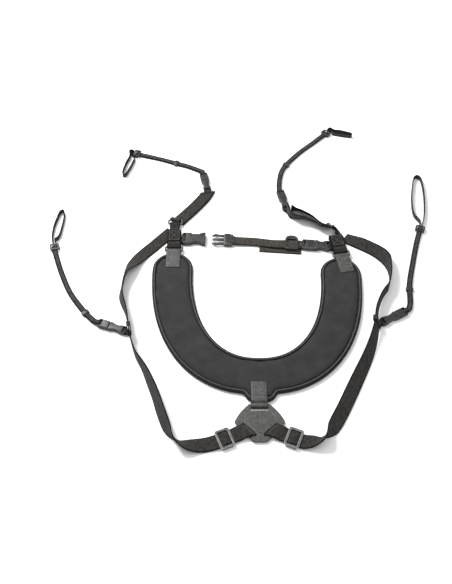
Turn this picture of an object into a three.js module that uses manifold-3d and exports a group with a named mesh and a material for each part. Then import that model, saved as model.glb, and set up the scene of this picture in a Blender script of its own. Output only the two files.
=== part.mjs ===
// A harness that carries two cameras, lying spread out on a flat surface.
// Millimetres. +Z is up, +Y runs from the leather back plate up past the shoulder pad, +X is to the right.
// Inside the file the centre of the pad's U is the origin; the last lines stand the whole on the floor.
import * as THREE from "three";
import { mergeVertices } from "three/addons/utils/BufferGeometryUtils.js";
import Module from "manifold-3d";

const wasm = await Module();
wasm.setup();

// Clearance that neighbouring pieces keep
const GAP = 0.3;

// Shoulder pad
const PAD_INNER_HALF_WIDTH = 117;
const PAD_INNER_DEPTH = 194;
const PAD_ARM_WIDTH = 74;
const PAD_BACK_WIDTH = 70;
const PAD_THICK = 8;
const PAD_CURVE_POWER = 2.3;
const PAD_LEFT_TOP = 38;
const PAD_RIGHT_TOP = 26;
const PAD_LOBE_HALF_WIDTH = 30;
const PAD_LOBE_DROP = 13;
const BINDING_WIDTH = 6;
const BINDING_ROUND = 2;

// Leather
const LEATHER_THICK = 2;
const TAB_WIDTH = 27;
const TAB_ON_PAD = 37;
const YOKE_TAB_ON_PAD = 21;
const YOKE_SHIFT = -2.5;
const YOKE_HALF_WIDTH = 39;
const YOKE_TOP_HALF_WIDTH = 16.5;
const YOKE_HEIGHT = 67;
const YOKE_WING_DROP = 33;
const YOKE_WING_ROUND = 6;
const YOKE_SIDE_BULGE = 3;
const YOKE_SIDE_RADIUS = 70;
const YOKE_TIP_RADIUS = 11;
const YOKE_PAD_SPACE = 4;
const YOKE_SLOT_DROP = 8;
const YOKE_SLOT_WIDTH = 31;
const YOKE_SLOT_HEIGHT = 7.5;
const YOKE_SLIT_LENGTH = 30;
const YOKE_SLIT_WIDTH = 5.5;
const YOKE_FLARE = 2;
const SLIT_SLOPE = 43.5;

// Webbing: side and upper straps, chest strap, and the thin leads
const WEBBING_WIDTH = 25;
const WEBBING_THICK = 2;
const CHEST_WIDTH = 20;
const CHEST_THICK = 1.6;
const LEAD_WIDTH = 10;
const LEAD_THICK = 2.4;
const LOOP_THICK = 1.2;
const BLOCK_WIDTH = 26;
const BLOCK_LENGTH = 41;
const NECK_WIDTH = 19;
const NECK_LENGTH = 18.5;
const NECK_LIFT = 2.5;
const LAYER = 1.8;
const HOOK_PLAY = 1;
const HOOK_WALL = 1.5;
const HOOK_SPACE = { left: 3, right: 4.2 };
const YOKE_STRAP_SLOPE = 22;
const YOKE_STRAP_TUCK = 9;
const LEAD_STRAIGHT = 5;
const SLIDE_APPROACH = 3;
const LOOP_STRAIGHT = 9;
const STEP_BASE = 2;
const STEP_SHARE = 0.33;

// Plastic loops and slides
const RING_INNER_WIDTH = 28;
const RING_PITCH = 10;
const RING_BAR = 3.4;
const RING_STANDOFF = 4.5;
const TOP_RING_INNER_WIDTH = 22;
const TOP_RING_PITCH = 10;
const SLIDE_BAR = 3.4;
const SLIDE_PLATE = 2.2;
const SLIDE_FOOT = 1.8;
const SLIDE_SIDE_PLAY = 0.6;
const ADJUSTER_LENGTH = 24;
const LEAD_SLIDER_LENGTH = 15;
const KEEPER_LENGTH = 7;
const KEEPER_WALL = 1.4;
const CHEST_KEEPER_LENGTH = 25;
const CHEST_KEEPER_BACK = 10;

// Side-release buckles: the small connectors and the chest buckle
const SMALL_BUCKLE = { width: 16, socket: 32, base: 21, thick: 8, prong: 20, bar: 3 };
const CHEST_BUCKLE = { width: 28, socket: 44, base: 17, prong: 24, bar: 3 };
const CHEST_LINK = { width: 22, socket: 28, base: 24, prong: 12, bar: 3 };
const BUCKLE_WALL = 1.6;

// Where the pieces hang together: straight spans in millimetres and their headings in degrees
const RIGHT_TURN = 9;
const RIGHT_ASIDE = 5;
const STRAP_AT_BLOCK = { left: { ahead: 1.11, aside: -0.46 }, right: { ahead: 0.93, aside: 1.38 } };
const UPPER_SPAN_LEFT = 99;
const UPPER_SPAN_RIGHT = 89;
const UPPER_LEAD_LEFT = 150;
const UPPER_LEAD_RIGHT = 203;
const LOWER_LEAD_LEFT = 198;
const LOWER_LEAD_RIGHT = 200;
const ADJUSTER_REACH = { left: 41, right: 37.5 };
const CHEST_HEADING = 175.3;
const CHEST_STRAP_LENGTH = 131;
const CHEST_TAIL_LENGTH = 79;
const CHEST_AT_BLOCK = { left: 0.54, right: 0.42 };
const CHEST_LINK_SPACE = 2.5;
const CHEST_TAIL_ASIDE = 11;
const CHEST_KEEPER_AT = 20;
const CHEST_SOCKET_SPACE = 2;
const CHEST_SOCKET_HEADING = -1;

const MATERIALS = {
  neoprene: { color: 0x3c3c3e, roughness: 0.9, metalness: 0 },
  binding: { color: 0x1c1c1d, roughness: 0.85, metalness: 0 },
  leather: { color: 0x6a6a68, roughness: 0.7, metalness: 0 },
  webbing: { color: 0x454240, roughness: 0.85, metalness: 0 },
  plastic: { color: 0x2a2a2b, roughness: 0.4, metalness: 0 },
};

const UP = new THREE.Vector3(0, 0, 1);
const DEG = Math.PI / 180;
const vec = (x, y, z = 0) => new THREE.Vector3(x, y, z);
const headed = (degrees) => vec(Math.cos(degrees * DEG), Math.sin(degrees * DEG));
const go = (from, length, degrees) => from.clone().addScaledVector(headed(degrees), length);

// Booleans
function toSolid(geometry) {
  const bare = geometry.clone();
  bare.deleteAttribute("normal");
  bare.deleteAttribute("uv");
  const merged = mergeVertices(bare, 1e-3);
  const mesh = new wasm.Mesh({
    numProp: 3,
    vertProperties: merged.attributes.position.array,
    triVerts: new Uint32Array(merged.index.array),
  });
  return new wasm.Manifold(mesh);
}

function toGeometry(solid) {
  const { vertProperties, triVerts } = solid.getMesh();
  const geometry = new THREE.BufferGeometry();
  geometry.setAttribute("position", new THREE.BufferAttribute(vertProperties, 3));
  geometry.setIndex(new THREE.BufferAttribute(triVerts, 1));
  geometry.computeVertexNormals();
  return geometry;
}

const joined = (...parts) => toGeometry(parts.map(toSolid).reduce((a, b) => a.add(b)));
const cut = (body, ...tools) =>
  toGeometry(tools.map(toSolid).reduce((a, b) => a.subtract(b), toSolid(body)));

// A box from its centre and its three sizes
function box(length, width, height, x = 0, y = 0, z = 0) {
  return new THREE.BoxGeometry(length, width, height).translate(x, y, z);
}

// An outline in the XY plane, raised from z = 0 to the height, with rounded rims where they are asked for
function plate(outline, height, rim = 0, holes = []) {
  const shape = new THREE.Shape(outline);
  shape.holes = holes.map((hole) => new THREE.Path(hole));
  const geometry = new THREE.ExtrudeGeometry(shape, {
    depth: height - 2 * rim,
    bevelEnabled: rim > 0,
    bevelSize: rim,
    bevelThickness: rim,
    bevelOffset: -rim,
    bevelSegments: 1,
    curveSegments: 6,
  });
  return geometry.translate(0, 0, rim);
}

// A rectangle with round corners, centred
function roundedRectangle(length, width, radius, segments = 2) {
  const points = [];
  const corners = [[1, 1, 0], [-1, 1, 90], [-1, -1, 180], [1, -1, 270]];
  for (const [sx, sy, start] of corners) {
    const centre = new THREE.Vector2(sx * (length / 2 - radius), sy * (width / 2 - radius));
    for (let i = 0; i <= segments; i++) {
      const angle = (start + (90 * i) / segments) * DEG;
      points.push(new THREE.Vector2(Math.cos(angle), Math.sin(angle)).multiplyScalar(radius).add(centre));
    }
  }
  return points;
}

// A band of rectangular section through the places, each with its side direction
function band(places, sides, width, thick) {
  const count = places.length;
  const positions = [];
  const index = [];
  places.forEach((place, i) => {
    const ahead = places[Math.min(i + 1, count - 1)].clone().sub(places[Math.max(i - 1, 0)]).normalize();
    const face = ahead.clone().cross(sides[i]).normalize();
    for (const [across, out] of [[-1, -1], [1, -1], [1, 1], [-1, 1]]) {
      const corner = place.clone().addScaledVector(sides[i], (across * width) / 2);
      corner.addScaledVector(face, (out * thick) / 2);
      positions.push(corner.x, corner.y, corner.z);
    }
  });
  for (let i = 0; i + 1 < count; i++) {
    for (let k = 0; k < 4; k++) {
      const a = 4 * i + k;
      const b = 4 * i + ((k + 1) % 4);
      index.push(a, b, a + 4, b, b + 4, a + 4);
    }
  }
  const last = 4 * (count - 1);
  index.push(0, 2, 1, 0, 3, 2, last, last + 1, last + 2, last, last + 2, last + 3);
  const geometry = new THREE.BufferGeometry();
  geometry.setAttribute("position", new THREE.Float32BufferAttribute(positions, 3));
  geometry.setIndex(index);
  geometry.computeVertexNormals();
  return geometry;
}

// The places of a strap between two anchors. Each row gives one as shares of the span (along it, and aside
// to its left), with the roll of the strap about its own line and its lift as a share of the strap's rise.
function between(from, to, rows) {
  const span = to.clone().sub(from).setZ(0);
  const left = UP.clone().cross(span);
  return rows.map(({ along, aside, roll = 0, lift = 0 }) => {
    const place = from.clone().addScaledVector(span, along).addScaledVector(left, aside);
    return { place, roll, lift };
  });
}

// A strap that lies on the floor along its spots, flat at no roll and on its edge at 90 degrees. A skew
// turns its cross-section in the plane of the floor, where its end is cut at a slant.
class Strap {
  constructor(spots, width, thick, rise = 0) {
    const flat = spots.map(({ place }) => place.clone().setZ(0));
    const twist = spots.map(({ roll = 0, lift = 0, skew = 0 }) => vec(roll, lift * rise, skew));
    this.line = new THREE.CatmullRomCurve3(flat, false, "centripetal");
    this.turn = new THREE.CatmullRomCurve3(twist, false, "catmullrom");
    this.width = width;
    this.thick = thick;
    this.steps = Math.max(4, Math.round(this.line.getLength() / (STEP_BASE + width * STEP_SHARE)));
  }

  at(share) {
    const u = this.line.getUtoTmapping(share);
    const place = this.line.getPoint(u);
    const { x: roll, y: lift, z: skew } = this.turn.getPoint(u);
    const sine = Math.sin(roll * DEG);
    const cosine = Math.cos(roll * DEG);
    place.z = (Math.abs(sine) * this.width) / 2 + (Math.abs(cosine) * this.thick) / 2 + Math.max(lift, 0);
    const ahead = this.line.getTangent(u).setZ(0).normalize();
    const level = UP.clone().cross(ahead).applyAxisAngle(UP, skew * DEG).divideScalar(Math.cos(skew * DEG));
    const side = level.multiplyScalar(cosine).addScaledVector(UP, sine);
    const face = ahead.clone().cross(side).normalize();
    return { place, ahead, side, face };
  }

  // The frame at a share of the strap: x ahead, y to its side, z off its face
  frame(share) {
    const { place, ahead, side, face } = this.at(share);
    return new THREE.Matrix4().makeBasis(ahead, side, face).setPosition(place);
  }

  geometry() {
    const spots = [];
    for (let i = 0; i <= this.steps; i++) {
      spots.push(this.at(i / this.steps));
    }
    return band(spots.map((s) => s.place), spots.map((s) => s.side), this.width, this.thick);
  }
}

// A band through places in one upright plane, all of it level across
function fold(places, side, width, thick, steps) {
  const line = new THREE.CatmullRomCurve3(places, false, "centripetal");
  const points = line.getSpacedPoints(steps);
  return band(points, points.map(() => side.clone()), width, thick);
}

// The piece's own frame: x along the heading, z up
function lying(place, degrees) {
  return new THREE.Matrix4().makeRotationZ(degrees * DEG).setPosition(place);
}

const harness = new THREE.Group();
function add(name, geometry, material, frame = new THREE.Matrix4()) {
  const mesh = new THREE.Mesh(geometry, new THREE.MeshStandardMaterial(MATERIALS[material]));
  mesh.name = name;
  mesh.applyMatrix4(frame);
  harness.add(mesh);
  return mesh;
}

// Pad

// A point of the U's superellipse at an angle, the half width and depth drawn in or out by the inset
function onCurve(halfWidth, depth, angle) {
  const share = 2 / PAD_CURVE_POWER;
  const x = halfWidth * Math.sign(Math.cos(angle)) * Math.abs(Math.cos(angle)) ** share;
  const y = -depth * Math.abs(Math.sin(angle)) ** share;
  return new THREE.Vector2(x, y);
}

// How far the middle of the pad's lower edge hangs below the U: level below the tab, then rising to each side
function lobe(x, inset) {
  const share = Math.abs(x) / (PAD_LOBE_HALF_WIDTH - inset / 2);
  return PAD_LOBE_DROP * THREE.MathUtils.smoothstep(2 - 2 * share, 0, 1);
}

const OUTER_HALF_WIDTH = PAD_INNER_HALF_WIDTH + PAD_ARM_WIDTH;
const OUTER_DEPTH = PAD_INNER_DEPTH + PAD_BACK_WIDTH;
const ARM_MIDDLE = PAD_INNER_HALF_WIDTH + PAD_ARM_WIDTH / 2;

// One round end of the pad, from its right side over to its left
function armEnd(middle, top, inset) {
  const radius = PAD_ARM_WIDTH / 2 - inset;
  const centre = top - PAD_ARM_WIDTH / 2;
  const points = [];
  for (let i = 0; i <= 8; i++) {
    const angle = i * 22.5 * DEG;
    points.push(new THREE.Vector2(middle + radius * Math.cos(angle), centre + radius * Math.sin(angle)));
  }
  return points;
}

// The angles of the U's outer edge, closer together where the lobe is
function outerAngles(steps) {
  const angles = [];
  for (let i = 0; i <= steps; i++) {
    angles.push(Math.PI + (Math.PI * i) / steps);
  }
  for (const share of [0.45, 0.6, 0.72, 0.84]) {
    const x = (share * PAD_LOBE_HALF_WIDTH) / OUTER_HALF_WIDTH;
    const away = Math.PI / 2 - Math.acos(x ** (PAD_CURVE_POWER / 2));
    angles.push(1.5 * Math.PI - away, 1.5 * Math.PI + away);
  }
  return angles.sort((a, b) => a - b);
}

function padOutline(inset) {
  const points = [];
  const steps = 28;
  const low = Math.min(PAD_LEFT_TOP, PAD_RIGHT_TOP) - PAD_ARM_WIDTH / 2 - GAP;
  for (const angle of outerAngles(steps)) {
    const point = onCurve(OUTER_HALF_WIDTH - inset, OUTER_DEPTH - inset, angle);
    point.y -= lobe(point.x, inset);
    if (point.y < low) points.push(point);
  }
  points.push(...armEnd(ARM_MIDDLE, PAD_RIGHT_TOP, inset));
  for (let i = steps; i >= 0; i--) {
    const angle = Math.PI + (Math.PI * i) / steps;
    const point = onCurve(PAD_INNER_HALF_WIDTH + inset, PAD_INNER_DEPTH + inset, angle);
    if (point.y < low) points.push(point);
  }
  points.push(...armEnd(-ARM_MIDDLE, PAD_LEFT_TOP, inset));
  return points;
}

function makePad() {
  add("pad", plate(padOutline(BINDING_WIDTH), PAD_THICK), "neoprene");
  const ring = plate(padOutline(0), PAD_THICK, BINDING_ROUND, [padOutline(BINDING_WIDTH - GAP)]);
  add("pad_binding", ring, "binding");
}

// Plastic pieces

// A flat loop of round bar, x across its long way, centred between its two long bars
function ringGeometry(innerWidth, pitch) {
  const outer = roundedRectangle(innerWidth + 2 * RING_BAR, pitch + RING_BAR, RING_BAR);
  const inner = roundedRectangle(innerWidth, pitch - RING_BAR, RING_BAR / 4, 1);
  return plate(outer, RING_BAR, RING_BAR / 4, [inner]).translate(0, 0, -RING_BAR / 2);
}

// A three-bar slide round a flat strap that runs along x at z = 0: two bars over it, one below it
function slideGeometry(width, thick, length, outline) {
  const inner = width + 2 * SLIDE_SIDE_PLAY;
  const outer = inner + 2 * SLIDE_BAR;
  const top = thick / 2 + GAP;
  const foot = -thick / 2 - GAP - SLIDE_FOOT;
  const window = roundedRectangle(length - 2 * SLIDE_BAR, inner, SLIDE_BAR / 4, 1);
  const face = plate(outline ?? roundedRectangle(length, outer, SLIDE_BAR), SLIDE_PLATE, 0.5, [window]);
  const high = top - foot + 1;
  const rail = (side) => {
    const aside = (side * (inner + SLIDE_BAR)) / 2;
    return box(length - 2 * SLIDE_BAR, SLIDE_BAR - 0.8, high, 0, aside, foot + high / 2);
  };
  const bar = box(SLIDE_BAR, outer - SLIDE_BAR, SLIDE_FOOT, 0, 0, foot + SLIDE_FOOT / 2);
  return joined(face.translate(0, 0, top), rail(1), rail(-1), bar);
}

// A plain sleeve round a flat strap that runs along x at z = 0
function keeperGeometry(width, thick) {
  const around = 2 * (GAP + KEEPER_WALL);
  const outer = roundedRectangle(thick + around, width + around, KEEPER_WALL);
  const inner = roundedRectangle(thick + 2 * GAP, width + 2 * GAP, GAP, 1);
  const sleeve = plate(outer, KEEPER_LENGTH, 0, [inner]).translate(0, 0, -KEEPER_LENGTH / 2);
  return sleeve.rotateY(90 * DEG);
}

// What leaves a strap bar, thinner than the body, at the end of a buckle; inward points into the body
function barTools(width, thick, bar, end, inward) {
  const wide = width * 0.76;
  const slot = box(bar * 1.3, wide, thick * 2, end + inward * bar * 1.65);
  const spare = (side) => box(bar * 3, wide, thick, end, 0, (side * (thick + bar)) / 2);
  return [slot, spare(1), spare(-1)];
}

// A slide's face with a round back, for the chest strap: straight in front, a half round behind
function keeperOutline() {
  const half = CHEST_WIDTH / 2 + SLIDE_SIDE_PLAY + SLIDE_BAR;
  const long = CHEST_KEEPER_LENGTH / 2;
  const points = roundedRectangle(2 * long, 2 * half, 2).filter(({ y }) => y > 0);
  for (let i = 0; i <= 8; i++) {
    const angle = (180 + i * 22.5) * DEG;
    points.push(new THREE.Vector2(long * Math.cos(angle), CHEST_KEEPER_BACK * Math.sin(angle) - half + 4));
  }
  return points;
}

// The socket half of a side-release buckle, its mouth at x = 0 and its strap bar at x = -socket
function socketGeometry({ width, socket, thick, bar }) {
  const waist = width * 0.36;
  const half = width / 2;
  const outline = [
    [0, -half], [0, half], [-socket * 0.12, half], [-socket * 0.3, waist], [-socket * 0.55, waist],
    [-socket * 0.66, half * 0.95], [-socket + 2, half * 0.95], [-socket, half * 0.8],
    [-socket, -half * 0.8], [-socket + 2, -half * 0.95], [-socket * 0.66, -half * 0.95],
    [-socket * 0.55, -waist], [-socket * 0.3, -waist], [-socket * 0.12, -half],
  ].map(([x, y]) => new THREE.Vector2(x, y)).reverse();
  const body = plate(outline, thick, 1).translate(0, 0, -thick / 2);
  const room = thick - 2 * BUCKLE_WALL;
  const depth = socket * 0.55;
  const cavity = box(depth * 2, 2 * waist - 2 * BUCKLE_WALL, room);
  const mouth = box(socket * 0.2, width - 2 * BUCKLE_WALL, room);
  return cut(body, cavity, mouth, ...barTools(width, thick, bar, -socket, 1));
}

// The plug half, its shoulder at x = 0, prongs towards -x and its strap bar at x = base
function plugGeometry({ width, socket, base, thick, prong, bar }) {
  const half = width / 2;
  const outline = roundedRectangle(base, width, 2).map((p) => p.add(new THREE.Vector2(base / 2, 0)));
  const body = plate(outline, thick, 1).translate(0, 0, -thick / 2);
  const reach = Math.min(prong, socket * 0.5);
  const blade = (thick - 2 * BUCKLE_WALL) * 0.75;
  const inside = 2 * (width * 0.36 - BUCKLE_WALL - GAP);
  const arm = inside * 0.2;
  const rod = (y) => box(reach + 2, arm, blade, 1 - reach / 2, y, 0);
  const prongs = [rod(0), rod(inside / 2 - arm / 2), rod(-inside / 2 + arm / 2)];
  return joined(cut(body, ...barTools(width, thick, bar, base, -1)), ...prongs);
}

// Both halves, fastened, from the strap bar of the socket at the place, along the heading
function addConnector(name, side, place, degrees, height, sizes) {
  const level = height + sizes.thick / 2;
  const meeting = go(place, sizes.socket, degrees).setZ(level);
  add([name, "socket", side].join("_"), socketGeometry(sizes), "plastic", lying(meeting, degrees));
  const shoulder = go(meeting, GAP, degrees);
  add([name, "plug", side].join("_"), plugGeometry(sizes), "plastic", lying(shoulder, degrees));
  return go(shoulder, sizes.base, degrees).setZ(0);
}

// Shoulder ends: tab, ring, sewn stack, top ring

const WRAP = RING_BAR * 0.62 + GAP;
const BAR_LEVEL = WEBBING_THICK + GAP + LAYER + WRAP;
const shoulders = {
  left: { sign: -1, top: PAD_LEFT_TOP, turn: 0, aside: 0 },
  right: { sign: 1, top: PAD_RIGHT_TOP, turn: RIGHT_TURN, aside: RIGHT_ASIDE },
};

// The right-hand neck rolls up on its edge as it leaves the stack: shares of the stack's length and half width
const NECK_ROWS = [
  { ahead: 0.62, aside: 0.29 },
  { ahead: 0.94, aside: 0.69, roll: 30 },
  { ahead: 1.22, aside: 0.52, roll: 42 },
  { ahead: 1.34, aside: 0.15, roll: 56 },
];

function makeShoulder(side) {
  const { sign, top, turn, aside } = shoulders[side];
  const ringCentre = vec(sign * ARM_MIDDLE + aside, top + RING_STANDOFF + RING_PITCH / 2, BAR_LEVEL);
  add("pad_ring_" + side, ringGeometry(RING_INNER_WIDTH, RING_PITCH), "plastic", lying(ringCentre, turn));

  // The tab, with its fold round the ring's lower bar at the frame's origin
  const bend = WRAP + LEATHER_THICK / 2;
  const over = PAD_THICK + GAP + LEATHER_THICK / 2 - BAR_LEVEL;
  const edge = RING_STANDOFF;
  const tabPlaces = [
    vec(0, -edge - TAB_ON_PAD, over),
    vec(0, -edge - TAB_ON_PAD / 2, over),
    vec(0, -edge, over),
    vec(0, 0, bend),
    vec(0, bend * 0.71, bend * 0.71),
    vec(0, bend, 0),
    vec(0, bend * 0.71, -bend * 0.71),
    vec(0, 0, -bend),
    vec(0, -edge + 1.5, -bend),
  ];
  const lowerBar = go(ringCentre, RING_PITCH / 2, 270 + turn);
  const tab = fold(tabPlaces, vec(1, 0, 0), TAB_WIDTH, LEATHER_THICK, 20);
  add("pad_tab_" + side, tab, "leather", lying(lowerBar, turn));

  // The sewn stack: a thick flat loop from the ring's upper bar, and a narrower neck to the top ring
  const upperBar = go(ringCentre, RING_PITCH / 2, 90 + turn);
  const face = (ahead, sideways) =>
    go(go(upperBar, BLOCK_LENGTH * ahead, 90 + turn), (sideways * BLOCK_WIDTH) / 2, turn).setZ(0);
  const radius = WRAP + LAYER;
  const blockFrame = lying(upperBar, 90 + turn);
  const stadium = (start, end, width) => {
    const length = end - start + 2 * radius;
    const profile = roundedRectangle(length, 2 * radius, radius - 0.01, 4);
    const slab = plate(profile, width).translate(0, 0, -width / 2);
    return slab.rotateX(90 * DEG).translate((start + end) / 2, 0, 0);
  };
  const hole = (x) => {
    const round = new THREE.CylinderGeometry(WRAP, WRAP, BLOCK_WIDTH * 2, 12);
    return round.translate(x, 0, 0);
  };
  const stack = stadium(0, BLOCK_LENGTH - radius, BLOCK_WIDTH);
  const ring = ringGeometry(TOP_RING_INNER_WIDTH, TOP_RING_PITCH);
  if (side === "left") {
    const far = BLOCK_LENGTH + NECK_LENGTH;
    const neck = stadium(BLOCK_LENGTH / 2, far, NECK_WIDTH);
    add("shoulder_block_left", cut(joined(stack, neck), hole(0), hole(far)), "webbing", blockFrame);
    const ringFrame = lying(go(upperBar, far + TOP_RING_PITCH / 2, 90), 0);
    add("top_ring_left", ring, "plastic", ringFrame);
    return { face, topRing: ringFrame };
  }
  const spots = NECK_ROWS.map(({ ahead, aside: out, roll }) => ({ place: face(ahead, out), roll, lift: 1 }));
  const rolled = new Strap(spots, NECK_WIDTH, 2 * LAYER, NECK_LIFT);
  const neck = rolled.geometry().applyMatrix4(blockFrame.clone().invert());
  add("shoulder_block_right", cut(joined(stack, neck), hole(0)), "webbing", blockFrame);

  // Its ring stands up with it
  const { place, ahead, side: across, face: off } = rolled.at(1);
  place.addScaledVector(ahead, RING_BAR / 2 + GAP + TOP_RING_PITCH / 2);
  place.z = Math.abs(across.z) * (TOP_RING_INNER_WIDTH / 2 + RING_BAR) + (Math.abs(off.z) * RING_BAR) / 2;
  const ringFrame = new THREE.Matrix4().makeBasis(across, ahead.clone().negate(), off).setPosition(place);
  add("top_ring_right", ring, "plastic", ringFrame);
  return { face, topRing: ringFrame };
}

makePad();
const left = makeShoulder("left");
const right = makeShoulder("right");

// Yoke: the leather plate, its tab from the pad, and its two straps

const PLATE_LEVEL = WEBBING_THICK + 2 * GAP;
const PAD_FOOT = -OUTER_DEPTH - PAD_LOBE_DROP;
const YOKE_TOP = PAD_FOOT - YOKE_PAD_SPACE;

// A corner at a place, rounded between the places before and after it
function roundCorner(before, place, after, radius, segments = 4) {
  const a = before.clone().sub(place).normalize();
  const b = after.clone().sub(place).normalize();
  const half = Math.acos(a.dot(b)) / 2;
  const reach = radius / Math.tan(half);
  const start = place.clone().addScaledVector(a, reach);
  const end = place.clone().addScaledVector(b, reach);
  const curve = new THREE.QuadraticBezierCurve(start, place, end);
  return curve.getPoints(segments);
}

function yokeOutline() {
  const bottom = YOKE_TOP - YOKE_HEIGHT;
  const wing = YOKE_TOP - YOKE_WING_DROP;
  const wingOut = YOKE_HALF_WIDTH + YOKE_FLARE;
  const bulgeOut = (YOKE_TOP_HALF_WIDTH + wingOut) / 2 + YOKE_SIDE_BULGE * 0.8;
  const bulge = (YOKE_TOP + wing) / 2 + YOKE_SIDE_BULGE * 0.6;
  const corners = [
    [YOKE_TOP_HALF_WIDTH, YOKE_TOP, 2],
    [bulgeOut, bulge, YOKE_SIDE_RADIUS],
    [wingOut, wing, YOKE_WING_ROUND],
    [YOKE_TIP_RADIUS, bottom, YOKE_TIP_RADIUS * 0.95],
    [-YOKE_TIP_RADIUS, bottom, YOKE_TIP_RADIUS * 0.95],
    [-wingOut, wing, YOKE_WING_ROUND],
    [-bulgeOut, bulge, YOKE_SIDE_RADIUS],
    [-YOKE_TOP_HALF_WIDTH, YOKE_TOP, 2],
  ].map(([x, y, radius]) => ({ place: new THREE.Vector2(x, y), radius }));
  const count = corners.length;
  return corners.flatMap(({ place, radius }, i) =>
    roundCorner(corners[(i + count - 1) % count].place, place, corners[(i + 1) % count].place, radius),
  ).reverse();
}

// The middle of a slit, halfway along the lower side of the plate's own kite
function slitMiddle(sign) {
  const out = YOKE_HALF_WIDTH * 0.45;
  return vec(sign * out + YOKE_SHIFT, YOKE_TOP - YOKE_WING_DROP - YOKE_HEIGHT * 0.195);
}

const sides = [
  { side: "left", sign: -1, shoulder: left },
  { side: "right", sign: 1, shoulder: right },
];

function makeYokePlate() {
  const slotMiddle = new THREE.Vector2(0, YOKE_TOP - YOKE_SLOT_DROP);
  const holes = [roundedRectangle(YOKE_SLOT_WIDTH, YOKE_SLOT_HEIGHT, 1, 1).map((p) => p.add(slotMiddle))];
  for (const sign of [-1, 1]) {
    const middle = slitMiddle(sign);
    const shift = new THREE.Vector2(middle.x - YOKE_SHIFT, middle.y);
    const slit = roundedRectangle(YOKE_SLIT_LENGTH, YOKE_SLIT_WIDTH, YOKE_SLIT_WIDTH / 3, 1);
    const turn = sign * SLIT_SLOPE * DEG;
    holes.push(slit.map((p) => p.rotateAround(new THREE.Vector2(), turn).add(shift)));
  }
  const geometry = plate(yokeOutline(), LEATHER_THICK, 0.4, holes);
  add("yoke_plate", geometry, "leather", lying(vec(YOKE_SHIFT, 0, PLATE_LEVEL), 0));
}

// The tab lies on the pad, drops to the plate, goes down through its slot and turns back below it
function makeYokeTab() {
  const onPad = PAD_THICK + GAP + LEATHER_THICK / 2;
  const onPlate = PLATE_LEVEL + LEATHER_THICK * 1.5 + GAP;
  const inPlate = PLATE_LEVEL + LEATHER_THICK / 2;
  const below = PLATE_LEVEL - GAP - LEATHER_THICK / 2;
  const bend = YOKE_TOP - YOKE_SLOT_DROP + YOKE_SLOT_HEIGHT * 0.3;
  const places = [
    vec(0, PAD_FOOT + YOKE_TAB_ON_PAD + PAD_LOBE_DROP, onPad),
    vec(0, PAD_FOOT + PAD_LOBE_DROP, onPad),
    vec(0, PAD_FOOT + 1, onPad),
    vec(0, (PAD_FOOT + YOKE_TOP) / 2, (onPad + onPlate) / 2),
    vec(0, YOKE_TOP + 0.6, onPlate),
    vec(0, bend + 1.6, onPlate - 0.1),
    vec(0, bend, inPlate),
    vec(0, bend + 1.6, below + 0.1),
    vec(0, YOKE_TOP, below),
    vec(0, YOKE_TOP + 4, below),
  ];
  const tab = fold(places, vec(1, 0, 0), TAB_WIDTH, LEATHER_THICK, 30);
  add("yoke_tab", tab, "leather", lying(vec(YOKE_SHIFT, 0), 0));
}

const STRAP_IN_SLIDE = SLIDE_FOOT + GAP;
function makeYokeStrap({ side, sign }) {
  const heading = sign > 0 ? -YOKE_STRAP_SLOPE : 180 + YOKE_STRAP_SLOPE;
  const slit = slitMiddle(sign);
  const under = PLATE_LEVEL - GAP - WEBBING_THICK / 2;
  const over = PLATE_LEVEL + LEATHER_THICK + GAP + WEBBING_THICK / 2;
  const inSlide = STRAP_IN_SLIDE + WEBBING_THICK / 2;
  const wing = YOKE_HALF_WIDTH * 0.37;
  const reach = ADJUSTER_REACH[side];
  const profile = [
    [-YOKE_STRAP_TUCK, under], [-YOKE_STRAP_TUCK / 3, under],
    [-1.5, under + 0.6], [0, (under + over) / 2], [1.5, over - 0.6], [3, over],
    [wing - 4, over], [wing, over - 0.3], [wing + 7.5, inSlide + 0.1],
    [reach - ADJUSTER_LENGTH / 2, inSlide], [reach, inSlide],
  ];
  const places = profile.map(([out, height]) => go(slit, out, heading).setZ(height));
  const skew = SLIT_SLOPE - YOKE_STRAP_SLOPE;
  const across = headed(heading + 90 - sign * skew).multiplyScalar(1 / Math.cos(skew * DEG));
  add("yoke_strap_" + side, fold(places, across, WEBBING_WIDTH, WEBBING_THICK, 30), "webbing");
  const centre = go(slit, reach, heading);
  const slide = slideGeometry(WEBBING_WIDTH, WEBBING_THICK, ADJUSTER_LENGTH);
  add("adjuster_" + side, slide, "plastic", lying(centre.clone().setZ(inSlide), heading));
  return { centre, heading };
}

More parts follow.
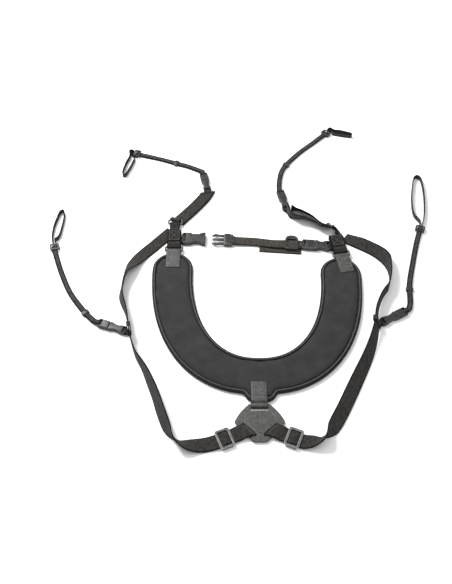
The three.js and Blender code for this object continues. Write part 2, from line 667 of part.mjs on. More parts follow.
// Side straps, from below the sewn stacks round to the slides. The left one turns over once on its way.
const START_SKEW = { left: 0, right: -7 };
const END_ROLL = { left: 180, right: 0 };
const SIDE_ROWS = {
  left: [
    { along: 0.048, aside: -0.06, roll: 0 },
    { along: 0.071, aside: -0.088, roll: 0 },
    { along: 0.098, aside: -0.123, roll: 0 },
    { along: 0.126, aside: -0.155, roll: 6 },
    { along: 0.159, aside: -0.184, roll: 22 },
    { along: 0.196, aside: -0.209, roll: 55 },
    { along: 0.242, aside: -0.229, roll: 80 },
    { along: 0.314, aside: -0.248, roll: 72 },
    { along: 0.415, aside: -0.237, roll: 84, lift: 1.3 },
    { along: 0.53, aside: -0.235, roll: 90, lift: 1.3 },
    { along: 0.604, aside: -0.225, roll: 88 },
    { along: 0.661, aside: -0.205, roll: 78 },
    { along: 0.716, aside: -0.191, roll: 67 },
    { along: 0.786, aside: -0.177, roll: 62 },
    { along: 0.857, aside: -0.167, roll: 58 },
    { along: 0.922, aside: -0.155, roll: 63 },
    { along: 0.958, aside: -0.142, roll: 92 },
    { along: 0.98, aside: -0.125, roll: 122 },
    { along: 0.993, aside: -0.099, roll: 152 },
    { along: 0.999, aside: -0.067, roll: 172 },
    { along: 1.001, aside: -0.034, roll: 180 },
  ],
  right: [
    { along: 0.009, aside: 0.031, roll: 5 },
    { along: 0.023, aside: 0.066, roll: 20 },
    { along: 0.038, aside: 0.111, roll: 22 },
    { along: 0.059, aside: 0.152, roll: 30 },
    { along: 0.089, aside: 0.183, roll: 50 },
    { along: 0.129, aside: 0.203, roll: 78 },
    { along: 0.182, aside: 0.216, roll: 90 },
    { along: 0.243, aside: 0.214, roll: 93 },
    { along: 0.29, aside: 0.197, roll: 96, lift: 0.5 },
    { along: 0.375, aside: 0.184, roll: 104, lift: 1.2 },
    { along: 0.455, aside: 0.19, roll: 116, lift: 1.5 },
    { along: 0.534, aside: 0.186, roll: 128, lift: 0.7 },
    { along: 0.612, aside: 0.173, roll: 138 },
    { along: 0.689, aside: 0.155, roll: 147 },
    { along: 0.766, aside: 0.137, roll: 153 },
    { along: 0.838, aside: 0.12, roll: 152 },
    { along: 0.896, aside: 0.104, roll: 150 },
    { along: 0.94, aside: 0.09, roll: 128 },
    { along: 0.963, aside: 0.076, roll: 90 },
    { along: 0.979, aside: 0.063, roll: 54 },
    { along: 0.991, aside: 0.037, roll: 22 },
  ],
};

function makeSideStrap({ side, shoulder }, { centre, heading }) {
  const { ahead, aside } = STRAP_AT_BLOCK[side];
  const from = shoulder.face(ahead, aside);
  const to = go(centre, ADJUSTER_LENGTH / 2 + SLIDE_APPROACH, heading);
  const spots = [
    { place: from, skew: START_SKEW[side] },
    ...between(from, to, SIDE_ROWS[side]),
    { place: to, roll: END_ROLL[side], lift: 1 },
    { place: go(centre, 5, heading), roll: END_ROLL[side], lift: 1 },
  ];
  const strap = new Strap(spots, WEBBING_WIDTH, WEBBING_THICK, STRAP_IN_SLIDE);
  add("side_strap_" + side, strap.geometry(), "webbing");
  return strap;
}

// Leads: a connector, a thin doubled strap with its keeper and slide, and the loop for a camera's lug

// The loop goes out on its edge, turns round at its tip and comes back
const LOOP_ROWS = [
  { along: 0.2, aside: 0.08, roll: 90 },
  { along: 0.5, aside: 0.1, roll: 90 },
  { along: 0.82, aside: 0.07, roll: 90 },
  { along: 0.96, aside: 0.045, roll: 90 },
  { along: 1, aside: 0, roll: 90 },
  { along: 0.96, aside: -0.045, roll: 90 },
  { along: 0.82, aside: -0.07, roll: 90 },
  { along: 0.5, aside: -0.08, roll: 90 },
  { along: 0.2, aside: -0.06, roll: 90 },
];
const CONNECTOR_RISE = (SMALL_BUCKLE.thick - LEAD_THICK) / 2;
const SLIDE_LIFT = STRAP_IN_SLIDE / CONNECTOR_RISE;

function makeLead(name, side, start, heading, plan) {
  const label = (piece) => [name, piece, side].join("_");
  const out = go(start, GAP, heading);
  const from = go(out, LEAD_STRAIGHT, heading);
  const centre = go(from, plan.span, plan.spanHeading);
  const half = LEAD_SLIDER_LENGTH / 2;
  const to = go(centre, -half - SLIDE_APPROACH, plan.slideHeading);
  const lead = new Strap([
    { place: out, lift: 1 },
    { place: from, lift: 1 },
    ...between(from, to, plan.rows),
    { place: to, lift: SLIDE_LIFT },
    { place: go(centre, half - SLIDE_BAR, plan.slideHeading), lift: SLIDE_LIFT },
  ], LEAD_WIDTH, LEAD_THICK, CONNECTOR_RISE);
  add(label("lead"), lead.geometry(), "webbing");
  const slide = slideGeometry(LEAD_WIDTH, LEAD_THICK, LEAD_SLIDER_LENGTH);
  const level = centre.clone().setZ(STRAP_IN_SLIDE + LEAD_THICK / 2);
  add(label("slider"), slide, "plastic", lying(level, plan.slideHeading));
  add(label("keeper"), keeperGeometry(LEAD_WIDTH, LEAD_THICK), "plastic", lead.frame(plan.keeperAt));

  const mouth = go(centre, half + GAP, plan.slideHeading);
  const tip = go(mouth, plan.loop, plan.loopHeading);
  const strand = (out, aside) => ({
    place: go(go(mouth, out, plan.slideHeading), (aside * LEAD_WIDTH) / 4, plan.slideHeading + 90),
    roll: 90,
  });
  const hoop = new Strap(
    [
      strand(0, 1), strand(LOOP_STRAIGHT, 1),
      ...between(mouth, tip, LOOP_ROWS),
      strand(LOOP_STRAIGHT, -1), strand(0, -1),
    ],
    LEAD_WIDTH, LOOP_THICK,
  );
  add(label("loop"), hoop.geometry(), "webbing");
}

// Each strap starts at a place in its top ring's own frame
const UPPER = {
  left: {
    strapFrom: vec(6, 4), span: UPPER_SPAN_LEFT, spanHeading: 55.9, endHeading: 101, roll: 0, endSkew: 33,
    space: GAP,
    strapRows: [
      { along: 0.167, aside: -0.009 },
      { along: 0.343, aside: -0.024 },
      { along: 0.514, aside: -0.03 },
      { along: 0.692, aside: -0.032 },
      { along: 0.864, aside: -0.025 },
    ],
    lead: {
      span: UPPER_LEAD_LEFT, spanHeading: 158.1, keeperAt: 0.42, slideHeading: 163, loop: 72, loopHeading: 258,
      rows: [
        { along: 0.09, aside: -0.02, lift: 0.6 },
        { along: 0.26, aside: -0.035, lift: 0.62 },
        { along: 0.46, aside: -0.03, lift: 0.62 },
        { along: 0.66, aside: -0.03, lift: 0.3 },
        { along: 0.86, aside: -0.015, lift: 0.5 },
      ],
    },
  },
  right: {
    strapFrom: vec(0, -TOP_RING_PITCH / 2 - RING_BAR / 2 - 2 * GAP), span: UPPER_SPAN_RIGHT, spanHeading: 148.6,
    endHeading: 102, roll: 52, endSkew: 0, space: 2.5,
    strapRows: [
      { along: 0.101, aside: -0.004, roll: 42 },
      { along: 0.19, aside: -0.009, roll: 50 },
      { along: 0.304, aside: -0.045, roll: 55 },
      { along: 0.427, aside: -0.075, roll: 55 },
      { along: 0.595, aside: -0.091, roll: 56 },
      { along: 0.726, aside: -0.09, roll: 56 },
      { along: 0.831, aside: -0.069, roll: 60 },
      { along: 0.923, aside: -0.035, roll: 80 },
    ],
    secondRows: [
      { along: 0.001, aside: 0.044, roll: 52 },
      { along: 0.085, aside: 0.06, roll: 42 },
      { along: 0.183, aside: 0.062, roll: 50 },
      { along: 0.291, aside: 0.046, roll: 55 },
      { along: 0.407, aside: 0.045, roll: 55 },
      { along: 0.517, aside: 0.059, roll: 58 },
      { along: 0.624, aside: 0.098, roll: 60 },
      { along: 0.718, aside: 0.138, roll: 65 },
      { along: 0.816, aside: 0.15, roll: 80 },
      { along: 0.901, aside: 0.109, roll: 88 },
      { along: 1.01, aside: -0.02, roll: 90 },
    ],
    lead: {
      span: UPPER_LEAD_RIGHT, spanHeading: 58, keeperAt: 0.37, slideHeading: 44, loop: 52, loopHeading: -15,
      rows: [
        { along: 0.09, aside: 0.05, lift: 0.6 },
        { along: 0.25, aside: 0.11, lift: 0.62 },
        { along: 0.37, aside: 0.12, lift: 0.62 },
        { along: 0.63, aside: 0.09, lift: 0.3 },
        { along: 0.85, aside: 0.035, lift: 0.5 },
      ],
    },
  },
};

// The strap is doubled. On the left both layers lie together as one band, on the right they part.
function makeUpper({ side, shoulder }) {
  const plan = UPPER[side];
  const from = plan.strapFrom.clone().applyMatrix4(shoulder.topRing).setZ(0);
  const to = go(from, plan.span, plan.spanHeading);
  const spots = between(from, to, plan.strapRows);
  if (plan.secondRows) {
    spots.unshift({ place: from, roll: plan.roll });
    const first = new Strap(spots, WEBBING_WIDTH, WEBBING_THICK);
    add("upper_strap_" + side, first.geometry(), "webbing");
    const second = new Strap(between(from, to, plan.secondRows), WEBBING_WIDTH, WEBBING_THICK);
    add("upper_return_" + side, second.geometry(), "webbing");
  } else {
    spots.unshift({ place: from });
    spots.push({ place: to, skew: plan.endSkew });
    const both = new Strap(spots, WEBBING_WIDTH, 2 * WEBBING_THICK + GAP);
    add("upper_strap_" + side, both.geometry(), "webbing");
  }
  const start = go(to, plan.space, plan.endHeading);
  const end = addConnector("upper", side, start, plan.endHeading, 0, SMALL_BUCKLE);
  makeLead("upper", side, end, plan.endHeading, plan.lead);
}

const LOWER = {
  left: {
    hookAt: 0.472, outward: 160,
    lead: {
      span: LOWER_LEAD_LEFT, spanHeading: 119, keeperAt: 0.16, slideHeading: 102, loop: 86, loopHeading: 87,
      rows: [
        { along: 0.1, aside: 0.03, lift: 0.7 },
        { along: 0.25, aside: 0.055, lift: 0.62 },
        { along: 0.45, aside: 0.07 },
        { along: 0.7, aside: 0.05 },
        { along: 0.9, aside: 0.02, lift: 0.5 },
      ],
    },
  },
  right: {
    hookAt: 0.465, outward: 29,
    lead: {
      span: LOWER_LEAD_RIGHT, spanHeading: 75, keeperAt: 0.25, slideHeading: 72, loop: 138, loopHeading: 84,
      rows: [
        { along: 0.07, aside: -0.01, lift: 0.7 },
        { along: 0.3, aside: 0.02, lift: 0.62 },
        { along: 0.68, aside: 0.016 },
        { along: 0.9, aside: 0.008, lift: 0.5 },
      ],
    },
  },
};

// A short loop of webbing round the side strap carries the lower connector
function makeLower({ side, sign }, sideStrap) {
  const plan = LOWER[side];
  const frame = sideStrap.frame(plan.hookAt);
  const thick = WEBBING_THICK + 2 * HOOK_PLAY;
  const width = WEBBING_WIDTH + 2 * HOOK_PLAY;
  const outer = roundedRectangle(thick + 2 * HOOK_WALL, width + 2 * HOOK_WALL, HOOK_WALL);
  const inner = roundedRectangle(thick, width, GAP, 1);
  const sleeve = plate(outer, LEAD_WIDTH, 0, [inner]).translate(0, 0, -LEAD_WIDTH / 2);
  add("lower_hook_" + side, sleeve.rotateY(90 * DEG), "webbing", frame);
  const { place, side: across, face } = sideStrap.at(plan.hookAt);
  const away = headed(plan.outward);
  const sideways = Math.abs(across.dot(away)) * (width / 2 + HOOK_WALL);
  const reach = sideways + Math.abs(face.dot(away)) * (thick / 2 + HOOK_WALL);
  const start = go(place.setZ(0), reach + HOOK_SPACE[side], plan.outward);
  const end = addConnector("lower", side, start, plan.outward, 0, SMALL_BUCKLE);
  makeLead("lower", side, end, plan.outward, plan.lead);
}

// Chest strap
const CHEST_ROWS = [
  { along: 0.15, aside: 0, lift: 1 },
  { along: 0.4, aside: 0.01, lift: 0.7 },
  { along: 0.7, aside: -0.01, lift: 0.6 },
  { along: 0.9, aside: 0, lift: 0.9 },
];

const CHEST_LEVEL = CHEST_THICK + GAP + SLIDE_FOOT + GAP + CHEST_THICK / 2;
const CHEST_SIZES = { ...CHEST_BUCKLE, thick: 2 * CHEST_LEVEL };
const LINK_SIZES = { ...CHEST_LINK, thick: 2 * CHEST_LEVEL };

function makeChest() {
  const start = go(right.face(CHEST_AT_BLOCK.right, -1), CHEST_LINK_SPACE, CHEST_HEADING);
  const linkEnd = addConnector("chest_link", "right", start, CHEST_HEADING, 0, LINK_SIZES);
  const from = go(linkEnd, GAP, CHEST_HEADING);
  const to = go(from, CHEST_STRAP_LENGTH, CHEST_HEADING);
  const rise = CHEST_LEVEL - CHEST_THICK / 2;
  const strap = new Strap([
    { place: from, lift: 1 },
    ...between(from, to, CHEST_ROWS),
    { place: to, lift: 1 },
  ], CHEST_WIDTH, CHEST_THICK, rise);
  add("chest_strap", strap.geometry(), "webbing");
  const shoulder = go(to, CHEST_BUCKLE.base + GAP, CHEST_HEADING).setZ(CHEST_LEVEL);
  add("chest_plug", plugGeometry(CHEST_SIZES), "plastic", lying(shoulder, CHEST_HEADING + 180));

  // The free tail lies below the strap, beside it
  const tailFrom = go(go(from, 1, CHEST_HEADING), CHEST_TAIL_ASIDE, CHEST_HEADING + 90);
  const tailTo = go(tailFrom, CHEST_TAIL_LENGTH, CHEST_HEADING);
  const tail = new Strap([{ place: tailFrom }, { place: tailTo }], CHEST_WIDTH, CHEST_THICK);
  add("chest_tail", tail.geometry(), "webbing");

  const keeper = go(from, CHEST_KEEPER_AT, CHEST_HEADING);
  const outline = keeperOutline();
  const slide = slideGeometry(CHEST_WIDTH, CHEST_THICK, CHEST_KEEPER_LENGTH, outline);
  add("chest_keeper", slide, "plastic", lying(keeper.setZ(CHEST_LEVEL), CHEST_HEADING));

  const socketEnd = go(left.face(CHEST_AT_BLOCK.left, 1), CHEST_SOCKET_SPACE, CHEST_SOCKET_HEADING);
  const mouth = go(socketEnd, CHEST_BUCKLE.socket, CHEST_SOCKET_HEADING).setZ(CHEST_LEVEL);
  add("chest_socket", socketGeometry(CHEST_SIZES), "plastic", lying(mouth, CHEST_SOCKET_HEADING));

  // The webbing that holds the socket comes out below the sewn stack and wraps the socket's bar
  const bend = CHEST_BUCKLE.bar * 0.65 + GAP + CHEST_THICK / 2;
  const bar = CHEST_BUCKLE.bar * 0.5;
  const places = [
    vec(-CHEST_SOCKET_SPACE - 4, 0, CHEST_THICK / 2),
    vec(-CHEST_SOCKET_SPACE + 0.5, 0, CHEST_THICK / 2 + 0.2),
    vec(bar - 1.5, 0, CHEST_LEVEL - bend),
    vec(bar + bend * 0.71, 0, CHEST_LEVEL - bend * 0.71),
    vec(bar + bend, 0, CHEST_LEVEL),
    vec(bar + bend * 0.71, 0, CHEST_LEVEL + bend * 0.71),
    vec(bar, 0, CHEST_LEVEL + bend),
    vec(-CHEST_SOCKET_SPACE + 1, 0, CHEST_LEVEL + bend),
  ];
  const anchor = fold(places, vec(0, 1, 0), CHEST_WIDTH, CHEST_THICK, 20);
  add("chest_anchor", anchor, "webbing", lying(socketEnd, CHEST_SOCKET_HEADING));
}

makeYokePlate();
makeYokeTab();
for (const each of sides) {
  const slide = makeYokeStrap(each);
  const sideStrap = makeSideStrap(each, slide);
  makeUpper(each);
  makeLower(each, sideStrap);
}
makeChest();

// Stand the whole on the floor, centred over the origin
const bounds = new THREE.Box3().setFromObject(harness, true);
const middle = bounds.getCenter(vec(0, 0));
harness.position.set(-middle.x, -middle.y, -bounds.min.z);

export default harness;
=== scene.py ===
# A padded shoulder harness, spread out on a white table: foam pad, webbing, leather and moulded plastic.
# Metres, +Z up, +Y towards the top of the photograph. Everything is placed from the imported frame.
import itertools
import math

import bmesh
import bpy
from mathutils import Matrix, Vector, noise
from mathutils.kdtree import KDTree


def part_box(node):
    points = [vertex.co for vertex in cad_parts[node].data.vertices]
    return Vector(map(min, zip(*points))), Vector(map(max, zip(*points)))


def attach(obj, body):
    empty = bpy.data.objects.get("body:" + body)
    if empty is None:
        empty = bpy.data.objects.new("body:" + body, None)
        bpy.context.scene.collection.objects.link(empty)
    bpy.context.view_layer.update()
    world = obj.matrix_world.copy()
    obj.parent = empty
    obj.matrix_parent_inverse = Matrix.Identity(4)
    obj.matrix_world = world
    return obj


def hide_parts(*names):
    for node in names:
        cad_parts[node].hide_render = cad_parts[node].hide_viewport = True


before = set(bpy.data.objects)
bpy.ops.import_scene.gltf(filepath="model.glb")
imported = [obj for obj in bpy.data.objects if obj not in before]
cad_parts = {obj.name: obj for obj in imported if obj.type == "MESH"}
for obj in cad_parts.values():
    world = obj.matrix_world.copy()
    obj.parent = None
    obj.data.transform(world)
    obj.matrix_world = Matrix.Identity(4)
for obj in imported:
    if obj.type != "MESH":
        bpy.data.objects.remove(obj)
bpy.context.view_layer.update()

MM = 0.001
SIDES = ("left", "right")

# Camera, worked out from the photograph's perspective
PAD_MIDDLE_FROM_FOOT = 277 * MM
LOOK_AT = Vector((-56, -50, 0)) * MM
CAMERA_BACK = 817 * MM
CAMERA_UP = 1046 * MM
CAMERA_TILT = 38
FOCAL_LENGTH = 45.37
SENSOR = 36

# Table and light
TABLE_SIZE = 12
TABLE_TOP = -0.4 * MM
ROOM = 0.52
WINDOW_PLACE = Vector((-0.9, 0.75, 1.5))
WINDOW_SIZE = 0.55
WINDOW_POWER = 50
CEILING_PLACE = Vector((0.2, -0.2, 2.2))
CEILING_SIZE = 2.4
CEILING_POWER = 20

# Cloth and leather
# painted shade: webbing darkens towards its edges, from EDGE_START of the width and by EDGE_SHADE
EDGE_START = 0.4
EDGE_SHADE = 5.5
RIB = 2.4 * MM
YARN = 1.25 * MM
FUZZ = 0.25
# painted shade on leather: darker towards a tab's edges and on the plate's rounded cut edges
LEATHER_EDGE_START = 0.44
LEATHER_EDGE_SHADE = 4.0
CUT_SHADE = 0.4
# painted highlights on plastic: paler along its rounded edges and in mottled spots over its flat faces
EDGE_GLINT_GAIN = 0.9
FLAT_GLINT_GAIN = 0.55
LAYER_GAP = 0.06
SELVEDGE_STEPS = 6
STITCH = 2.6 * MM
STITCH_PITCH = 3.6 * MM
STITCH_THICK = 0.75 * MM
STITCH_LIFT = 0.15 * MM
STITCH_SECTIONS = ((-0.5, 0.35), (-0.36, 0.9), (0.36, 0.9), (0.5, 0.35))
ROW_STEPS = 14

# Pad, its seam and its bound edge
RIM_STEP = 3 * MM
PAD_VOXEL = 3.4 * MM
SWELL_PRESSURE = 4
SWELL_CAP = 0.5 * MM
SWELL_FRAMES = 12
PAD_FOOT = 0.25 * MM
PAD_EDGE = 5.6 * MM
PAD_CROWN = 1.0 * MM
PAD_SHOULDER = 11 * MM
PAD_OUTSET = 0.2 * MM
PAD_WAVES = ((46 * MM, 0.5 * MM), (17 * MM, 0.22 * MM))
SEAM_WIDTH = 1.2 * MM
SEAM_DEPTH = 0.5 * MM
SEAM_LENGTH = 80 * MM
TAPE_PROFILE = ((-1.0, 6.3), (0.1, 7.5), (1.6, 8.1), (3.4, 7.9), (4.9, 7.0), (5.7, 5.6), (6.0, 4.0),
                (5.7, 2.4), (4.9, 1.1), (3.2, 0.3), (0.8, 0.15), (-1.0, 0.3))
PIPING = 1.0 * MM
PIPING_OUT = 1.7 * MM
PIPING_LEVEL = 7.9 * MM
PIPING_SIDES = 8

# Rounded edges of hard parts
FOLD_EDGE = 0.4 * MM
FINE_EDGE = 0.45 * MM
SLAB_EDGE = 0.5 * MM
ARM_EDGE = 0.7 * MM
SOFT_EDGE = 0.8 * MM

# Modelling
MERGE = 0.002 * MM
FLAT_ANGLE = 0.6
STEEP = 0.9
LEVEL = 0.98
CAP_BEND = 0.02
CAP_EDGE_BEND = 1
SPREAD_STEPS = 40

# Sewn stacks, rings and bars; the lists of layers and turns in millimetres
STACK_LENGTH = 41 * MM
STACK_WIDTH = 26 * MM
STACK_LAYER = 1.75 * MM
STACK_BAR = 3.3 * MM
STACK_LOOSE_END = 1 * MM
STACK_LAYERS = ((5, 41, 1.1, 25.2), (4, 39.2, -1.1, 25.8))
STACK_MIDDLE = 20
STACK_PATCH_WIDTH = 24 * MM
STACK_PATCH_STITCHES = (14 * MM, 36 * MM, 9.5 * MM)
STACK_ROW = (7 * MM, 11 * MM)
NECK_ROW = (46 * MM, 7 * MM)
NECK_TURN = ((24, -3.8, 0.5, 0), (32, -6.5, -0.5, 0.2), (40, -8.5, -0.5, 0.5), (47, -7.5, 1.2, 0.72))
NECK_WIDTH = 19 * MM
RING_HALF_PITCH = 5 * MM
BAR_WRAP = 2.75 * MM
WRAP_THICK = 1.5 * MM
WRAP_REACH = 5 * MM
NECK_REACH = 4 * MM
SLIDE_WEBBING = 24.6 * MM
SLIDE_RISE = 3.4 * MM
SLIDE_END = 3.6 * MM
SLIDE_BAR = 3.4 * MM
ARCH_DIP = 0.4 * MM
SLIDER_RISE = 3 * MM
LEAD_WIDTH = 9.6 * MM
SOCKET_WEBBING = 11.6 * MM
CHEST_WEBBING = 19.4 * MM
LINK_WEBBING = 16 * MM
LINK_REACH = 6 * MM
RING_WEBBING = 21 * MM
PLATE_ROW_INSET = 4.5 * MM
PLATE_RIM_STEP = 2 * MM
STRAP_ROWS = (0.16, 0.22)
TAB_CROWN = 0.12
TAB_ROW_START = 0.07
TAB_ROW_HALF = 0.38


# Finishes

class Finish:
    """A procedural material under construction: its shader, and short calls that add and join nodes."""

    def __init__(self, name, roughness, specular=0.5):
        self.material = bpy.data.materials.new(name)
        self.material.use_nodes = True
        self.nodes = self.material.node_tree.nodes
        self.links = self.material.node_tree.links
        self.shader = self.nodes["Principled BSDF"]
        self.shader.inputs["Roughness"].default_value = roughness
        self.shader.inputs["Specular IOR Level"].default_value = specular

    def add(self, kind, inputs=None, **settings):
        node = self.nodes.new(kind)
        for key, value in settings.items():
            setattr(node, key, value)
        for key, value in (inputs or {}).items():
            self.join(value, node.inputs[key])
        return node

    def join(self, value, socket):
        if isinstance(value, bpy.types.NodeSocket):
            self.links.new(value, socket)
        else:
            socket.default_value = value

    def math(self, operation, a, b=0.0):
        return self.add("ShaderNodeMath", {0: a, 1: b}, operation=operation).outputs[0]

    def where(self):
        return self.add("ShaderNodeTexCoord").outputs["Object"]

    def strap_uv(self):
        split = self.add("ShaderNodeSeparateXYZ", {0: self.add("ShaderNodeUVMap", uv_map="strap").outputs[0]})
        return split.outputs[0], split.outputs[1]

    def noise(self, size, detail=2.0, vector=None):
        inputs = {"Scale": 1 / size, "Detail": detail, "Vector": vector or self.where()}
        return self.add("ShaderNodeTexNoise", inputs).outputs["Fac"]

    def cells(self, size, vector):
        return self.add("ShaderNodeTexVoronoi", {"Vector": vector, "Scale": 1 / size}).outputs["Distance"]

    def mark(self, name):
        return self.add("ShaderNodeAttribute", attribute_name=name).outputs["Fac"]

    def ramp(self, factor, dark, light, low=0.0, high=1.0):
        ramp = self.add("ShaderNodeValToRGB", {0: factor})
        ramp.color_ramp.elements[0].position = low
        ramp.color_ramp.elements[0].color = (*dark, 1)
        ramp.color_ramp.elements[1].position = high
        ramp.color_ramp.elements[1].color = (*light, 1)
        return ramp.outputs[0]

    def bump(self, height, distance, strength=1.0, below=None):
        inputs = {"Height": height, "Distance": distance, "Strength": strength}
        if below is not None:
            inputs["Normal"] = below
        return self.add("ShaderNodeBump", inputs).outputs[0]

    def surface(self, color=None, normal=None, roughness=None):
        for key, value in (("Base Color", color), ("Normal", normal), ("Roughness", roughness)):
            if value is not None:
                self.join(value, self.shader.inputs[key])
        return self.material


def woven(name, dark, light, rib=RIB, yarn=YARN, edge_start=EDGE_START):
    """Ribbed webbing: cross ribs along the strap's own map, lengthwise yarns across it, and painted shade
    darkening its edges.
    """
    finish = Finish(name, 0.85, 0.1)
    along, across = finish.strap_uv()
    ribs = finish.math("SINE", finish.math("MULTIPLY", along, 2 * math.pi / rib))
    slant = finish.math("ADD", finish.math("MULTIPLY", across, 2 * math.pi / yarn), ribs)
    yarns = finish.math("SINE", slant)
    weave = finish.math("ADD", finish.math("MULTIPLY", ribs, 0.5), finish.math("MULTIPLY", yarns, 0.5))
    fluff = finish.noise(0.9 * MM, 3.0)
    mottle = finish.noise(5 * MM, 4.0)
    share = finish.mark("share")
    # painted shade: the colour darkens towards the strap's edges
    edge = finish.math("SUBTRACT", finish.math("ABSOLUTE", share), edge_start)
    edge = finish.math("MAXIMUM", finish.math("MULTIPLY", edge, EDGE_SHADE), 0.0)
    tone = finish.math("ADD", finish.math("MULTIPLY", weave, 0.26), finish.math("MULTIPLY", fluff, FUZZ))
    tone = finish.math("ADD", tone, finish.math("MULTIPLY", mottle, 0.5))
    tone = finish.math("SUBTRACT", tone, edge)
    color = finish.ramp(tone, dark, light, 0.22, 0.58)
    normal = finish.bump(weave, 0.25 * MM, 0.8)
    normal = finish.bump(fluff, 0.12 * MM, 0.5, normal)
    finish.shader.inputs["Sheen Weight"].default_value = 0.04
    finish.shader.inputs["Sheen Roughness"].default_value = 0.6
    return finish.surface(color, normal)


def knitted(name, dark, light):
    """The pad's face: a fine knit over foam, with a faint wider mottle."""
    finish = Finish(name, 0.9, 0.12)
    where = finish.where()
    grain = finish.noise(1.1 * MM, 3.0, where)
    cells = finish.cells(1.5 * MM, where)
    mottle = finish.noise(22 * MM, 3.0, where)
    tone = finish.math("ADD", finish.math("MULTIPLY", grain, 0.45), finish.math("MULTIPLY", mottle, 0.4))
    tone = finish.math("ADD", tone, finish.math("MULTIPLY", cells, 0.12))
    color = finish.ramp(tone, dark, light, 0.25, 0.72)
    normal = finish.bump(cells, 0.16 * MM, 0.6)
    normal = finish.bump(grain, 0.15 * MM, 0.5, normal)
    finish.shader.inputs["Sheen Weight"].default_value = 0.05
    finish.shader.inputs["Sheen Roughness"].default_value = 0.5
    return finish.surface(color, normal)


def grained(name, dark, light):
    """Grey leather: pebbled grain with fine creases and worn, paler patches, and painted shade along its
    edges.
    """
    finish = Finish(name, 0.62, 0.3)
    where = finish.where()
    pebble = finish.cells(1.7 * MM, where)
    fine = finish.noise(0.6 * MM, 3.0, where)
    wear_and_glint = finish.noise(4 * MM, 5.0, where)
    tone = finish.math("ADD", finish.math("MULTIPLY", wear_and_glint, 0.7), finish.math("MULTIPLY", fine, 0.25))
    tone = finish.math("SUBTRACT", tone, finish.math("MULTIPLY", pebble, 0.12))
    # painted shade: darker towards the leather's edges and on its narrow rounded cut-edge faces
    cut = finish.mark("edge_strip")
    share = finish.mark("share")
    edge = finish.math("SUBTRACT", finish.math("ABSOLUTE", share), LEATHER_EDGE_START)
    edge = finish.math("MULTIPLY", edge, LEATHER_EDGE_SHADE)
    edge = finish.math("MAXIMUM", edge, finish.math("MULTIPLY", cut, CUT_SHADE))
    tone = finish.math("SUBTRACT", tone, edge)
    color = finish.ramp(tone, dark, light, 0.25, 0.65)
    normal = finish.bump(pebble, 0.25 * MM, 0.55)
    normal = finish.bump(fine, 0.1 * MM, 0.4, normal)
    rough = finish.math("ADD", finish.math("MULTIPLY", wear_and_glint, 0.3), 0.45)
    return finish.surface(color, normal, rough)


def moulded(name, dark, light, roughness):
    """Moulded plastic: a fine spark texture, a faint haze that also paints mottled highlights, and painted
    highlights along its rounded edges.
    """
    finish = Finish(name, roughness, 0.35)
    where = finish.where()
    spark = finish.noise(0.5 * MM, 2.0, where)
    haze_and_glints = finish.noise(2.6 * MM, 3.0, where)
    # painted highlight: the narrow faces along rounded edges, and the haze's spots, are coloured paler
    wear_and_glint = finish.mark("edge_strip")
    glint_gain = finish.math("ADD", finish.math("MULTIPLY", wear_and_glint, EDGE_GLINT_GAIN), FLAT_GLINT_GAIN)
    tone = finish.math("MULTIPLY", haze_and_glints, glint_gain)
    color = finish.ramp(tone, dark, light, 0.2, 0.72)
    rough = finish.math("ADD", finish.math("MULTIPLY", haze_and_glints, 0.2), roughness - 0.1)
    normal = finish.bump(haze_and_glints, 0.35 * MM, 0.6)
    return finish.surface(color, finish.bump(spark, 0.05 * MM, 0.5, normal), rough)


def thread(name, dark, light):
    """Sewing thread, faintly mottled."""
    finish = Finish(name, 0.7, 0.3)
    return finish.surface(finish.ramp(finish.noise(3 * MM), dark, light, 0.3, 0.7))


def table_top(name):
    """The white table, with the least unevenness."""
    finish = Finish(name, 0.75, 0.2)
    tone = finish.noise(300 * MM, 2.0)
    return finish.surface(finish.ramp(tone, (0.93, 0.93, 0.935), (0.95, 0.95, 0.95)))


FINISHES = {
    "neoprene": knitted("pad_knit", (0.014, 0.0138, 0.0143), (0.042, 0.0412, 0.0425)),
    "binding": woven("binding_tape", (0.005, 0.005, 0.0052), (0.024, 0.0236, 0.0245), 1.3 * MM, 0.8 * MM),
    # the piping's lighter grey paints the highlight along the binding's inner ridge
    "piping": woven("piping_painted_highlight", (0.045, 0.045, 0.046), (0.12, 0.12, 0.123), 1.6 * MM, 0.9 * MM),
    "webbing": woven("strap_webbing", (0.004, 0.0037, 0.0034), (0.058, 0.0535, 0.049)),
    "chest_webbing": woven("chest_webbing", (0.008, 0.0072, 0.0063), (0.085, 0.074, 0.064)),
    "stack_webbing": woven("stack_webbing", (0.003, 0.0028, 0.0026), (0.034, 0.032, 0.030)),
    # the leads get a wider band of painted edge shade
    "lead_webbing": woven("lead_webbing", (0.003, 0.0029, 0.0028), (0.08, 0.077, 0.073), 2.4 * MM, 1.1 * MM,
                          edge_start=0.27),
    "leather": grained("grey_leather", (0.024, 0.0246, 0.0236), (0.1, 0.102, 0.096)),
    "plastic": moulded("black_plastic", (0.004, 0.004, 0.0042), (0.11, 0.11, 0.11), 0.45),
    # the same black plastic with weaker painted highlights, so the rings' ends stay dark
    "ring_plastic": moulded("ring_plastic", (0.006, 0.006, 0.0062), (0.07, 0.07, 0.07), 0.45),
    # a paler copy of the plastic, whose edges and spots paint light-grey glints on the slides
    "slide_plastic": moulded("slide_plastic_painted_glints", (0.05, 0.05, 0.0505), (0.34, 0.34, 0.34), 0.36),
    "thread": thread("dark_thread", (0.07, 0.068, 0.065), (0.15, 0.146, 0.14)),
    # a pale finish that paints the highlight on the lit edge of the tab's fold in the yoke's slot
    "lit_edge_highlight": thread("painted_lit_edge", (0.36, 0.36, 0.355), (0.5, 0.5, 0.49)),
}


# Making pieces

def only(piece):
    """Selects one piece and nothing else."""
    bpy.ops.object.select_all(action="DESELECT")
    piece.select_set(True)
    bpy.context.view_layer.objects.active = piece
    return piece


